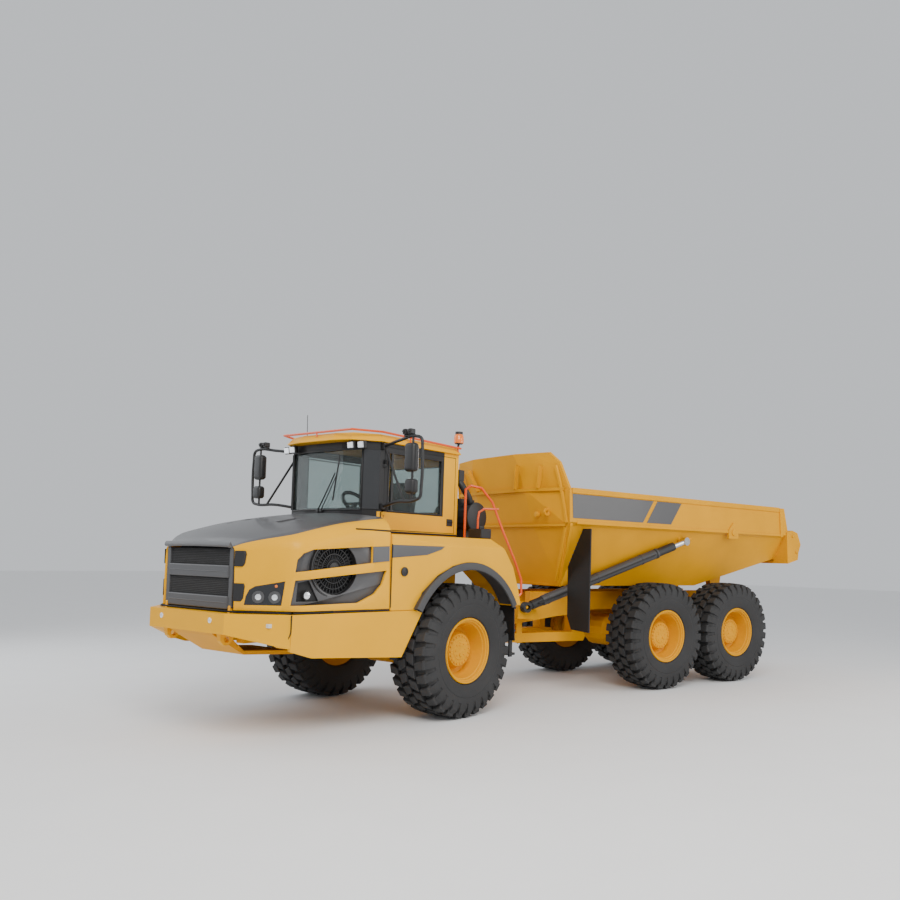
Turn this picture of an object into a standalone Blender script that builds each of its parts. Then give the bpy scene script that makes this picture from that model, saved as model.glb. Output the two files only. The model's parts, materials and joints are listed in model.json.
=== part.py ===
"""Articulated six-wheel dump truck, modelled in metres with +Z up.

The design frame has the front axle at Y = 0, the truck's left side at +X and its nose at -Y.
The front unit and the rear unit meet at a steering pivot, and the rear unit is swung by REST_STEER.
At the end the whole truck is shifted so that the middle of its footprint lies at the origin.
"""
import math

import bmesh
import bpy
from mathutils import Matrix, Vector

for old in list(bpy.data.objects):
    bpy.data.objects.remove(old, do_unlink=True)

# ---------------------------------------------------------------- driving dimensions
GAP = 0.0003                 # gap between solids that touch
RUN = 0.0005                 # gap between faces that turn on each other
CLEAR = 0.006                # gap round a moving panel
REST_STEER = math.radians(-15.0)   # swing of the rear unit at rest, tail to the left

WHEELBASE = 4.175            # front axle to first rear axle
BOGIE_SPACING = 1.67         # between the two rear axles
PIVOT_Y = 1.21               # steering pivot behind the front axle
TRACK = 2.258                # between the tyres' middles
TYRE_RADIUS = 0.79           # to the flat of the facet on the ground
TYRE_WIDTH = 0.60
RIM_RADIUS = 0.385
WHEEL_SIDES = 28
HUB_FACE = 0.80              # half width of an axle between its wheel hubs

NOSE_Y = -2.78               # front face of the bumper
NOSE_HALF = 0.66             # half width of the bumper's straight part
SHOULDER_Y = -2.34           # where the nose corner meets the side panel
SHOULDER_HALF = 1.13
WAIST_HALF = 1.30            # half width where the side panel meets the fender
WAIST_Y = -0.69
PANEL_LOW_Z = 0.78           # lower edge of the side panels
WAIST_Z = 1.32               # seam between side panel and hood
HOOD_REAR_Y = -1.16
HOOD_FRONT_Z = 2.06
HOOD_REAR_Z = 2.37
HOOD_WALL = 0.03
HOOD_AXIS = (-2.645, 1.345)    # Y and Z of the hood's hinge
HOOD_KNUCKLE = 0.575         # inner end of the hood's hinge knuckles
GRILLE_HALF = 0.60
GRILLE_TOP_Z = 1.93
GRILLE_EDGE = 0.02           # radius of the grille's lower edge, about its hinge

CAB_HALF = 0.74
CAB_FRONT_Y = -1.10
CAB_CORNER_Y = -0.90
CAB_REAR_Y = 0.46
CAB_FLOOR_Z = 1.40
CAB_TOP_Z = 3.20
CAB_WALL = 0.05
SILL_Z = 2.41                # lower edge of the windows
HEAD_Z = 3.11                # upper edge of the windows
GLASS = 0.008
ROOF_THICK = 0.10
DOOR_FRONT_Y = -0.82
DOOR_REAR_Y = 0.40
DOOR_LOW_Z = 2.19
DOOR_TOP_Z = 3.15
DOOR_GLASS_REAR_Y = 0.14

FENDER_HALF = 1.34           # outer face of the fenders
FENDER_INNER = 0.78
DECK_Z = 2.13                # top of fenders and rear deck
ARCH_CENTRE_Y = 0.06
ARCH_RADIUS = 1.04
DECK_REAR_Y = 0.56
FENDER_TIP_Y = 1.06
EDGE_CUT = 0.11              # slope between a fender's top and its side

RAIL_IN = 0.38               # front frame rails, inner and outer faces
RAIL_OUT = 0.50
FRONT_RAIL_Z = (0.97, 1.22)
RAIL_END_Y = 0.38            # rear end of the front frame rails
LUG_THICK = 0.08
HITCH_LOW_Z = 0.76           # between the front frame's two hitch lugs
HITCH_HIGH_Z = 1.20
HITCH_RADIUS = 0.17
HITCH_REAR_Y = 1.95          # rear end of the roll tube
ROLL_Z = 0.98
ROLL_RADIUS = 0.16

REAR_RAIL_IN = 0.30
REAR_RAIL_OUT = 0.42
REAR_RAIL_Z = (1.14, 1.42)
REAR_FRAME_END_Y = 6.45
TIP_Y = 6.35                 # tipping hinge of the dump body
TIP_Z = 1.36

BED_FLOOR_Z = 1.52           # underside of the dump body's floor
BED_FLOOR_HALF = 0.80
BED_BEND_HALF = 1.28         # where the sloping side meets the side rail
BED_BEND_Z = 2.36
BED_HALF = 1.35
BED_TOP_Z = 2.87
BED_FRONT_Y = 2.50
BED_KICK_Y = 5.45            # where the floor starts to rise to the tail
BED_TAIL_Y = 7.31
BED_TAIL_FLOOR_Z = 2.02
BED_TIP_Y = 7.63             # rearmost point of the tail lip
BED_WALL = 0.03
HEADBOARD_TOP_Z = 3.36

HOIST_LOW = (0.75, 1.97, 1.22)     # barrel pivot on the rear frame
HOIST_HIGH = (1.30, 4.64, 2.22)    # rod eye on the dump body
HOIST_RADIUS = 0.065
HOIST_ROD_RADIUS = 0.042
HOIST_ROD_SHORT = 0.155      # the hoist rod is this much shorter than the closed cylinder
HOIST_BARREL_SHORT = 0.24    # and its barrel this much
HOIST_EYE = 0.04             # half width of the hoist cylinders' eyes
HOIST_BALL = 0.032           # ball that the barrel's eye swivels on
TIP_ANGLE = math.radians(74.0)

STEER_FRONT = (0.62, 0.18)   # steering cylinder's barrel pivot on the front frame
STEER_REAR = (0.46, 0.41)    # its rod eye, from the steering pivot
STEER_Z = 1.04
STEER_RADIUS = 0.045
STEER_ROD_RADIUS = 0.025
STEER_BARREL = 0.96
STEER_ROD = 0.92             # length of the steering cylinders' rods
STEER_EYE = 0.0495           # half height of the steering cylinders' eyes
BORE_PLAY = 0.0008           # bore corner radius over rod corner radius

COLOURS = {
    "yellow": ((0.90, 0.52, 0.035), 0.38, 0.0),
    "golden": ((0.72, 0.38, 0.02), 0.42, 0.0),
    "graphite": ((0.075, 0.075, 0.08), 0.45, 0.0),
    "black": ((0.012, 0.012, 0.012), 0.55, 0.0),
    "rubber": ((0.02, 0.02, 0.021), 0.85, 0.0),
    "orange": ((0.82, 0.13, 0.03), 0.40, 0.0),
    "glass": ((0.35, 0.42, 0.42), 0.05, 0.0),
    "steel": ((0.60, 0.60, 0.60), 0.25, 1.0),
    "fabric": ((0.05, 0.05, 0.055), 0.90, 0.0),
}


# ---------------------------------------------------------------- mesh helpers
def material(name):
    """A Principled material with one of the truck's colours."""
    found = bpy.data.materials.get(name)
    if found:
        return found
    colour, roughness, metallic = COLOURS[name]
    made = bpy.data.materials.new(name)
    made.use_nodes = True
    shader = made.node_tree.nodes["Principled BSDF"]
    shader.inputs["Base Color"].default_value = (*colour, 1.0)
    shader.inputs["Roughness"].default_value = roughness
    shader.inputs["Metallic"].default_value = metallic
    return made


def prism(outline, axis, low, high):
    """Extrude a closed 2D outline along X, Y or Z. The outline's two values are the other axes."""
    place = {
        "X": lambda a, b, h: (h, a, b),
        "Y": lambda a, b, h: (a, h, b),
        "Z": lambda a, b, h: (a, b, h),
    }[axis]
    solid = bmesh.new()
    near = [solid.verts.new(place(a, b, low)) for a, b in outline]
    far = [solid.verts.new(place(a, b, high)) for a, b in outline]
    solid.faces.new(near)
    solid.faces.new(far)
    for i in range(len(outline)):
        j = (i + 1) % len(outline)
        solid.faces.new((near[i], near[j], far[j], far[i]))
    return closed(solid)


def closed(solid):
    """Point every face of a closed bmesh outwards."""
    bmesh.ops.recalc_face_normals(solid, faces=solid.faces)
    if solid.calc_volume(signed=True) < 0:
        bmesh.ops.reverse_faces(solid, faces=solid.faces)
    return solid


def box(x, y, z):
    """A box from three (low, high) pairs."""
    return prism([(x[0], y[0]), (x[1], y[0]), (x[1], y[1]), (x[0], y[1])], "Z", *z)


def frame_along(direction):
    """Two unit vectors at right angles to a direction and to each other."""
    direction = Vector(direction).normalized()
    side = direction.cross(Vector((0, 0, 1)))
    if side.length < 0.1:
        side = Vector((1, 0, 0))
    side.normalize()
    return side, direction.cross(side).normalized()


def ring(solid, centre, side, up, radius, sides, turn=0.5):
    """A ring of vertices round a centre, with a flat facet towards -up."""
    points = []
    for i in range(sides):
        angle = 2 * math.pi * (i + turn) / sides - math.pi / 2
        points.append(solid.verts.new(centre + radius * (math.cos(angle) * side + math.sin(angle) * up)))
    return points


def bridge(solid, first, second):
    """Quads between two rings of the same size."""
    for i in range(len(first)):
        j = (i + 1) % len(first)
        solid.faces.new((first[i], first[j], second[j], second[i]))


def turned(centre, axis, profile, sides, up=None):
    """Turn a profile of (along, radius) pairs round an axis. The profile closes on itself."""
    axis = Vector(axis).normalized()
    side, other = frame_along(axis)
    if up is not None:
        other = Vector(up)
        side = other.cross(axis)
    solid = bmesh.new()
    rings = [
        ring(solid, Vector(centre) + axis * along, side, other, radius, sides)
        for along, radius in profile
    ]
    for i in range(len(rings)):
        bridge(solid, rings[i], rings[(i + 1) % len(rings)])
    return closed(solid)


def rod(start, end, radius, sides=12):
    """A straight round bar with flat ends."""
    return tube([start, end], radius, sides)


def tube(points, radius, sides=8):
    """A round tube's outer shape through points, mitred at each bend, with flat ends."""
    points = [Vector(p) for p in points]
    solid = bmesh.new()
    rings = []
    side, up = frame_along(points[1] - points[0])
    for i, point in enumerate(points):
        before = (point - points[i - 1]).normalized() if i else (points[1] - points[0]).normalized()
        after = (points[i + 1] - point).normalized() if i + 1 < len(points) else before
        middle = (before + after).normalized()
        if i:
            side = (side - middle * side.dot(middle)).normalized()
            up = middle.cross(side).normalized()
        wide = 1.0 / max(0.5, middle.dot(before))
        bend = (after - before)
        here = []
        for k in range(sides):
            angle = 2 * math.pi * k / sides
            offset = radius * (math.cos(angle) * side + math.sin(angle) * up)
            if bend.length > 1e-6:
                across = bend.normalized()
                offset += across * (offset.dot(across) * (wide - 1.0))
            here.append(solid.verts.new(point + offset))
        rings.append(here)
    for i in range(len(rings) - 1):
        bridge(solid, rings[i], rings[i + 1])
    solid.faces.new(rings[0])
    solid.faces.new(rings[-1])
    return closed(solid)


def shell(rows, thickness):
    """A wall over a grid of points. The second skin lies inwards, on the side of the grid's middle."""
    solid = bmesh.new()
    grid = [[solid.verts.new(p) for p in row] for row in rows]
    for i in range(len(grid) - 1):
        for j in range(len(grid[0]) - 1):
            solid.faces.new((grid[i][j], grid[i][j + 1], grid[i + 1][j + 1], grid[i + 1][j]))
    bmesh.ops.recalc_face_normals(solid, faces=solid.faces)
    solid.normal_update()
    middle = sum((v.co for v in solid.verts), Vector()) / len(solid.verts)
    middle_face = min(solid.faces, key=lambda f: (f.calc_center_median() - middle).length)
    outward = (middle_face.calc_center_median() - middle).dot(middle_face.normal)
    if outward < 0:
        bmesh.ops.reverse_faces(solid, faces=solid.faces)
        solid.normal_update()
    bmesh.ops.solidify(solid, geom=solid.faces[:], thickness=thickness)
    return closed(solid)


def mirrored(solid):
    """The same solid on the other side of the truck."""
    copy = solid.copy()
    bmesh.ops.scale(copy, vec=(-1, 1, 1), verts=copy.verts)
    return closed(copy)


def half_outline(points):
    """A left-side outline and its mirror image, as one closed outline."""
    return points + [(-x, rest) for x, rest in reversed(points) if x > 0]


def as_object(solid, name="work"):
    mesh = bpy.data.meshes.new(name)
    solid.to_mesh(mesh)
    solid.free()
    made = bpy.data.objects.new(name, mesh)
    bpy.context.scene.collection.objects.link(made)
    return made


def combine(base, tools, operation):
    """Apply Booleans to a bmesh one after the other and give back a bmesh."""
    target = as_object(base)
    for tool in tools:
        cutter = as_object(tool)
        modifier = target.modifiers.new("Boolean", "BOOLEAN")
        modifier.operation = operation
        modifier.solver = "EXACT"
        modifier.object = cutter
        depsgraph = bpy.context.evaluated_depsgraph_get()
        depsgraph.update()
        result = bpy.data.meshes.new_from_object(target.evaluated_get(depsgraph))
        target.modifiers.clear()
        target.data = result
        bpy.data.objects.remove(cutter, do_unlink=True)
    solid = bmesh.new()
    solid.from_mesh(target.data)
    bpy.data.objects.remove(target, do_unlink=True)
    return solid


def union(base, *tools):
    return combine(base, tools, "UNION")


def cut(base, *tools):
    return combine(base, tools, "DIFFERENCE")


# ---------------------------------------------------------------- bodies and nodes
def empty(name, place, parent=None, turn=0.0):
    """An empty on a joint's axis. The place is in the design frame, before the rear unit is swung."""
    made = bpy.data.objects.new(name, None)
    made.empty_display_size = 0.2
    made["place"] = place
    bpy.context.scene.collection.objects.link(made)
    made.parent = parent
    base = Vector(parent["place"]) if parent else Vector()
    made.location = Vector(place) - base
    made.rotation_euler.z = turn
    return made


def node(name, solid, colour, body, smooth=False):
    """One named piece on a body's empty. The solid comes in the design frame."""
    bmesh.ops.translate(solid, vec=-Vector(body["place"]), verts=solid.verts)
    made = as_object(solid, name)
    made.parent = body
    made.data.materials.append(material(colour))
    if smooth:
        made.data.shade_smooth()
        made.data.set_sharp_from_angle(angle=math.radians(35))
    return made


def turned_about_pivot(x, y, angle):
    """A plan point of the rear unit, swung about the steering pivot."""
    y -= PIVOT_Y
    return (
        x * math.cos(angle) - y * math.sin(angle),
        x * math.sin(angle) + y * math.cos(angle) + PIVOT_Y,
    )


# ---------------------------------------------------------------- front unit: frame and axle
def side_x(y):
    """Half width of the side panels and hood seam at a given Y."""
    share = (y - SHOULDER_Y) / (WAIST_Y - SHOULDER_Y)
    return SHOULDER_HALF + (WAIST_HALF - SHOULDER_HALF) * share


def front_frame():
    """Two rails, a nose beam, the hitch end with its lugs, and the brackets for cab, panels and steering."""
    nose = box((-RAIL_OUT, RAIL_OUT), (NOSE_Y + 0.30, NOSE_Y + 0.42), (1.10, 1.21))
    cross = box((-RAIL_OUT, RAIL_OUT), (RAIL_END_Y - 0.12, RAIL_END_Y + 0.02),
                (FRONT_RAIL_Z[0] + 0.002, FRONT_RAIL_Z[1] - 0.002))
    end_rear = PIVOT_Y - HITCH_RADIUS - 0.06
    end = box((-0.24, 0.24), (RAIL_END_Y - 0.05, end_rear), (HITCH_LOW_Z - LUG_THICK, HITCH_HIGH_Z + LUG_THICK))
    lug_plan = [(-0.22, end_rear - 0.05), (0.22, end_rear - 0.05)] + [
        (0.19 * math.cos(a), PIVOT_Y + 0.19 * math.sin(a))
        for a in [math.radians(15 + 25 * i) for i in range(7)]
    ]
    low_lug = prism(lug_plan, "Z", HITCH_LOW_Z - LUG_THICK + 0.001, HITCH_LOW_Z)
    high_lug = prism(lug_plan, "Z", HITCH_HIGH_Z, HITCH_HIGH_Z + LUG_THICK - 0.001)
    left = [box((RAIL_IN, RAIL_OUT), (NOSE_Y + 0.34, RAIL_END_Y), FRONT_RAIL_Z)]
    x, y = STEER_FRONT
    left.append(box((RAIL_OUT - 0.03, x + 0.06), (y - 0.07, y + 0.04),
                    (STEER_Z - STEER_EYE - 0.05, STEER_Z - STEER_EYE - RUN)))
    left.append(box((RAIL_IN + 0.02, SHOULDER_HALF - 0.12), (-1.95, -1.85), (1.02, 1.10)))
    back = (WAIST_Y - 0.30, WAIST_Y - 0.20)
    left.append(box((RAIL_IN + 0.02, side_x(back[0]) - 0.055), back, (1.02, 1.10)))
    for foot in (-0.80, 0.24):
        left.append(box((RAIL_IN + 0.01, RAIL_OUT - 0.01), (foot, foot + 0.10), (FRONT_RAIL_Z[1] - 0.02, CAB_FLOOR_Z - GAP)))
    hanger = (PIVOT_Y - 0.28, PIVOT_Y - 0.24)
    left.append(box((0.22, 0.40), hanger, (1.20, 1.27)))
    return union(cross, end, nose, low_lug, high_lug, *left, *[mirrored(solid) for solid in left])


def axle(y, pad_top, pad_inner, pad_outer):
    """A drive axle: tapered housing, round gear case and end flanges, with pads under the frame."""
    profile = [
        (-HUB_FACE, 0.02), (-HUB_FACE, 0.20), (-HUB_FACE + 0.05, 0.20), (-HUB_FACE + 0.06, 0.13),
        (-0.34, 0.13), (-0.20, 0.25), (0.20, 0.25), (0.34, 0.13),
        (HUB_FACE - 0.06, 0.13), (HUB_FACE - 0.05, 0.20), (HUB_FACE, 0.20), (HUB_FACE, 0.02),
    ]
    solid = turned((0, y, TYRE_RADIUS), (1, 0, 0), profile, 16)
    pads = []
    for sign in (1, -1):
        xs = sorted((sign * pad_inner, sign * pad_outer))
        pads.append(box(xs, (y - 0.10, y + 0.10), (TYRE_RADIUS + 0.05, pad_top - GAP)))
    bore = rod((-HUB_FACE - 0.01, y, TYRE_RADIUS), (HUB_FACE + 0.01, y, TYRE_RADIUS), 0.04)
    return cut(union(solid, *pads), bore)


def wheel_meshes():
    """Tyre and rim for a left wheel, about its own centre, with a flat facet downwards."""
    half = TYRE_WIDTH / 2
    corner = 1 / math.cos(math.pi / WHEEL_SIDES)
    tread = TYRE_RADIUS * corner
    bore = RIM_RADIUS * corner
    tyre = turned((0, 0, 0), (1, 0, 0), [
        (-half + 0.05, tread), (half - 0.05, tread), (half - 0.012, tread - 0.06), (half, tread - 0.17),
        (half - 0.03, bore + 0.06), (half - 0.07, bore), (-half + 0.07, bore), (-half + 0.03, bore + 0.06),
        (-half, tread - 0.17), (-half + 0.012, tread - 0.06),
    ], WHEEL_SIDES, up=(0, 0, 1))
    seat = bore - GAP
    inner = -(TRACK / 2 - HUB_FACE) + RUN
    rim = turned((0, 0, 0), (1, 0, 0), [
        (half - 0.07, seat), (half - 0.065, seat - 0.035), (0.02, seat - 0.075), (-0.02, 0.20),
        (-0.06, 0.10), (-0.06, 0.03), (inner, 0.03), (inner, 0.19), (-0.12, 0.22),
        (-half + 0.12, seat - 0.06), (-half + 0.07, seat),
    ], WHEEL_SIDES, up=(0, 0, 1))
    return tyre, rim


# ---------------------------------------------------------------- front unit: bodywork
def bumper():
    """The front bumper: straight nose, two raked corners and two tow eyes below."""
    depth = 0.30
    top = WAIST_Z - 0.03
    plan = half_outline([
        (NOSE_HALF, NOSE_Y), (SHOULDER_HALF - 0.02, SHOULDER_Y - GAP), (SHOULDER_HALF - 0.22, SHOULDER_Y - GAP),
        (NOSE_HALF - 0.10, NOSE_Y + depth),
    ])
    solid = prism(plan, "Z", 1.09, top)
    for vert in solid.verts:
        if vert.co.z < 1.2 and vert.co.y > NOSE_Y + depth + 0.05:
            vert.co.z = 0.95
    eyes = []
    for sign in (1, -1):
        outline = [(NOSE_Y + 0.06, 1.15), (NOSE_Y + 0.26, 1.15), (NOSE_Y + 0.22, 1.01), (NOSE_Y + 0.17, 0.965),
                   (NOSE_Y + 0.12, 0.965), (NOSE_Y + 0.08, 1.01)]
        eye = prism(outline, "X", sign * 0.47 - 0.03, sign * 0.47 + 0.03)
        hole = rod((sign * 0.47 - 0.05, NOSE_Y + 0.15, 1.025), (sign * 0.47 + 0.05, NOSE_Y + 0.15, 1.025), 0.03)
        eyes.append(cut(eye, hole))
    y, z = HOOD_AXIS
    lugs = []
    for sign in (1, -1):
        xs = sorted((sign * (HOOD_KNUCKLE - 0.035), sign * (HOOD_KNUCKLE - RUN)))
        lugs.append(prism([(y - 0.02, top - 0.02), (y + 0.03, top - 0.02), (y + 0.018, z + 0.01), (y + 0.01, z + 0.018),
                           (y - 0.01, z + 0.018), (y - 0.018, z + 0.01)], "X", *xs))
    return union(solid, *eyes, *lugs)


def side_panel():
    """The lower side panel between bumper and front wheel."""
    rear_top, rear_low = WAIST_Y, WAIST_Y - 0.27
    thick = 0.04
    rows = []
    for y_top, y_low, z_low in (
        (SHOULDER_Y + GAP, SHOULDER_Y + GAP, 0.93), (SHOULDER_Y + 0.25, SHOULDER_Y + 0.25, PANEL_LOW_Z + 0.07),
        (rear_top, rear_low, PANEL_LOW_Z),
    ):
        rows.append([(side_x(y_top), y_top, WAIST_Z - 0.03), (side_x(y_low) - 0.02, y_low, z_low)])
    solid = bmesh.new()
    outer = [[solid.verts.new(p) for p in row] for row in rows]
    inner = [[solid.verts.new((x - thick, y, z)) for x, y, z in row] for row in rows]
    for i in range(2):
        solid.faces.new((outer[i][0], outer[i][1], outer[i + 1][1], outer[i + 1][0]))
        solid.faces.new((inner[i][0], inner[i + 1][0], inner[i + 1][1], inner[i][1]))
        for j in (0, 1):
            solid.faces.new((outer[i][j], outer[i + 1][j], inner[i + 1][j], inner[i][j]))
    for i in (0, 2):
        solid.faces.new((outer[i][0], outer[i][1], inner[i][1], inner[i][0]))
    return closed(solid)


def belly_plate():
    """The sloping guard below the engine."""
    outline = [(NOSE_Y + 0.31, 1.0), (NOSE_Y + 0.31, 1.09 - GAP), (NOSE_Y + 0.05, 1.09 - GAP), (NOSE_Y + 0.10, 1.05),
               (SHOULDER_Y, 0.84), (-1.72, 0.80), (-1.72, 0.84), (SHOULDER_Y, 0.88)]
    return prism(outline, "X", -0.37, 0.37)


def hood_rows():
    """Four cross-sections of the hood, from its front edge to its rear edge."""
    rear = HOOD_REAR_Y
    low = WAIST_Z
    rise = (HOOD_REAR_Z - HOOD_FRONT_Z) / 3
    halves = []
    stations = [
        (GRILLE_HALF + 0.03, NOSE_Y + 0.12, 0.0, 0.02),
        (SHOULDER_HALF, SHOULDER_Y + 0.04, 1.15, 0.26),
        (side_x(-1.75), -1.75, 2.25, 0.27),
        (side_x(rear), rear, 3.0, 0.27),
    ]
    for half, y, step, inset in stations:
        crown = HOOD_FRONT_Z + rise * step
        halves.append([
            (half, y, low), (half - 0.02, y, crown - 0.22 if step else crown - 0.10),
            (half - inset, y, crown - 0.05), (0.0, y - (0.02 if not step else 0), crown),
        ])
    return [row + [(-x, y, z) for x, y, z in reversed(row[:-1])] for row in halves]


def upper_vent():
    """The upper opening of the side grille, in Y and Z."""
    return [(-2.30, 1.70), (-2.27, 1.84), (-2.12, 1.90), (-1.40, 1.93), (-1.40, 1.81)]


def lower_vent():
    """The lower opening of the side grille, in Y and Z."""
    return [(-2.30, 1.38), (-2.30, 1.62), (-1.24, 1.73), (-1.33, 1.52), (-1.56, 1.39)]


def hood():
    solid = shell(hood_rows(), HOOD_WALL)
    cutters = []
    for sign in (1, -1):
        for outline in (upper_vent(), lower_vent()):
            xs = sorted((sign * 0.9, sign * 1.5))
            cutters.append(prism(outline, "X", *xs))
    solid = cut(solid, *cutters)
    y, z = HOOD_AXIS
    knuckles = []
    for sign in (1, -1):
        outer = GRILLE_HALF + 0.04
        xs = sorted((sign * HOOD_KNUCKLE, sign * outer))
        knuckles.append(rod((xs[0], y, z), (xs[1], y, z), 0.018, 8))
    return union(solid, *knuckles)


def side_grille():
    """The dark mesh panel behind the side openings."""
    inset = HOOD_WALL + 0.0095
    front, rear = SHOULDER_Y + 0.10, HOOD_REAR_Y - 0.16
    outline = [(side_x(front) - inset, front), (side_x(rear) - inset, rear),
               (side_x(rear) - inset - 0.02, rear), (side_x(front) - inset - 0.02, front)]
    solid = prism(outline, "Z", WAIST_Z + 0.065, 1.93)
    for vert in solid.verts:
        if vert.co.z > 1.6:
            vert.co.x -= 0.02
    seat = HOOD_WALL + 0.0118
    near, far = -1.80, -1.74
    boss = [(side_x(near) - seat, near), (side_x(far) - seat, far), (side_x(far) - inset - 0.02, far),
            (side_x(near) - inset - 0.02, near)]
    return union(solid, prism(boss, "Z", 1.70, 1.74))


def grille():
    """The front grille panel, which folds down about its lower edge."""
    y, z = grille_axis()
    arc = [(y + GRILLE_EDGE * math.cos(a), z + GRILLE_EDGE * math.sin(a))
           for a in [math.radians(-180 + 45 * i) for i in range(5)]]
    outline = arc + [(y + GRILLE_EDGE + 0.01, z + 0.10), (y + GRILLE_EDGE + 0.01, GRILLE_TOP_Z),
                     (y - GRILLE_EDGE, GRILLE_TOP_Z)]
    solid = prism(outline, "X", -GRILLE_HALF + 0.02, GRILLE_HALF - 0.02)
    notch = HOOD_KNUCKLE - 0.045
    notches = [box(sorted((sign * notch, sign * 0.7)), (y - 0.1, y + 0.1), (z - 0.1, z + 0.075)) for sign in (1, -1)]
    return cut(solid, *notches)


def grille_axis():
    return NOSE_Y + 0.15, WAIST_Z - 0.03 + GRILLE_EDGE + RUN


def fender():
    """The fender over a front wheel, from the hood seam to its rear tip."""
    front = HOOD_REAR_Y + CLEAR
    arch = []
    for i in range(11):
        a = math.radians(168 - 15 * i)
        y = ARCH_CENTRE_Y + ARCH_RADIUS * math.cos(a)
        z = TYRE_RADIUS + ARCH_RADIUS * math.sin(a)
        if z > WAIST_Z - 0.01:
            arch.append((y, z))
    outline = [(front, WAIST_Z - 0.029)] + [(arch[0][0] - 0.03, WAIST_Z - 0.029)] + arch + [
        (arch[-1][0], WAIST_Z - 0.03), (FENDER_TIP_Y + 0.02, WAIST_Z - 0.03), (FENDER_TIP_Y - 0.05, 1.52),
        (0.90, 1.78), (0.72, 2.00), (DECK_REAR_Y, DECK_Z), (front, DECK_Z),
    ]
    solid = prism(outline, "X", FENDER_INNER, FENDER_HALF)
    flush_y = WAIST_Y + (FENDER_HALF - WAIST_HALF) / (WAIST_HALF - SHOULDER_HALF) * (WAIST_Y - SHOULDER_Y)
    beyond = FENDER_HALF + 0.3
    taper = prism([(side_x(front - 0.1), front - 0.1), (FENDER_HALF, flush_y), (beyond, flush_y), (beyond, front - 0.1)],
                  "Z", 1.0, DECK_Z + 0.1)
    edge = prism([(FENDER_HALF - EDGE_CUT, DECK_Z), (FENDER_HALF - EDGE_CUT, DECK_Z + 0.1), (beyond, DECK_Z + 0.1),
                  (beyond, DECK_Z - EDGE_CUT), (FENDER_HALF, DECK_Z - EDGE_CUT)], "Y", -2.0, 2.0)
    return cut(solid, taper, edge)


def rear_deck():
    """The deck behind the cab, between the fenders, and its legs down to the frame."""
    deck = box((-FENDER_INNER + GAP, FENDER_INNER - GAP), (CAB_REAR_Y + GAP, 1.00), (DECK_Z - 0.05, DECK_Z))
    legs = []
    for sign in (1, -1):
        xs = sorted((sign * 0.12, sign * 0.26))
        legs.append(box(xs, (0.66, 0.74), (HITCH_HIGH_Z + LUG_THICK + GAP, DECK_Z - 0.02)))
    return union(deck, *legs)


# ---------------------------------------------------------------- cab
def cab_plan(half, corner_y, front_y, rear_y, inset=0.0):
    """The cab's plan, bowed at the front."""
    return half_outline([
        (half - inset, rear_y - inset), (half - inset, corner_y + inset * 0.3),
        (half - 0.11 - inset * 0.6, front_y + 0.05 + inset), (half * 0.42, front_y + inset),
    ])


def cab_shell():
    outer = prism(cab_plan(CAB_HALF, CAB_CORNER_Y, CAB_FRONT_Y, CAB_REAR_Y), "Z", CAB_FLOOR_Z, CAB_TOP_Z - GAP)
    inner = prism(cab_plan(CAB_HALF, CAB_CORNER_Y, CAB_FRONT_Y, CAB_REAR_Y, CAB_WALL), "Z",
                  CAB_FLOOR_Z + 0.06, CAB_TOP_Z + 0.1)
    windscreen = box((-0.61, 0.61), (CAB_FRONT_Y - 0.2, CAB_CORNER_Y + 0.02), (SILL_Z, HEAD_Z))
    right = box((-CAB_HALF - 0.1, -CAB_HALF + CAB_WALL + 0.05), (DOOR_FRONT_Y + 0.06, DOOR_GLASS_REAR_Y),
                (SILL_Z, HEAD_Z))
    rear = box((-0.48, 0.48), (CAB_REAR_Y - CAB_WALL - 0.05, CAB_REAR_Y + 0.1), (SILL_Z + 0.05, HEAD_Z - 0.05))
    door = box((CAB_HALF - CAB_WALL - 0.05, CAB_HALF + 0.1), (DOOR_FRONT_Y - CLEAR, DOOR_REAR_Y + CLEAR),
               (DOOR_LOW_Z - CLEAR, DOOR_TOP_Z + CLEAR))
    solid = cut(outer, inner, windscreen, right, rear, door)
    lugs = []
    for z in (2.40, 2.95):
        x, y = door_axis()
        lugs.append(prism([(CAB_HALF - 0.02, y - 0.05), (x, y - 0.018), (x + 0.018, y), (x, y + 0.012),
                           (CAB_HALF - 0.02, y - 0.012)],
                          "Z", z - 0.04, z - RUN))
    post = box((-0.16, 0.16), (-0.30, 0.10), (CAB_FLOOR_Z + 0.05, 1.84))
    return union(solid, *lugs, post)


def door_axis():
    return CAB_HALF + 0.022, DOOR_FRONT_Y - 0.004


def door():
    """The cab door: a frame with its window cut, and two hinge knuckles."""
    xs = (CAB_HALF - CAB_WALL, CAB_HALF)
    solid = box(xs, (DOOR_FRONT_Y, DOOR_REAR_Y), (DOOR_LOW_Z, DOOR_TOP_Z))
    window = box((xs[0] - 0.1, xs[1] + 0.1), (DOOR_FRONT_Y + 0.06, DOOR_GLASS_REAR_Y), (SILL_Z, HEAD_Z - 0.02))
    x, y = door_axis()
    knuckles = []
    for z in (2.40, 2.95):
        knuckles.append(prism([(CAB_HALF - 0.02, y + 0.010), (CAB_HALF - 0.02, y + 0.06), (x, y + 0.03),
                               (x + 0.018, y), (x, y - 0.014)], "Z", z, z + 0.05))
    return union(cut(solid, window), *knuckles)


def pane(x, y, z):
    """A flat glass pane held in its opening by the usual gap."""
    return box((x[0] + GAP, x[1] - GAP), (y[0] + GAP, y[1] - GAP), (z[0] + GAP, z[1] - GAP))


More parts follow.
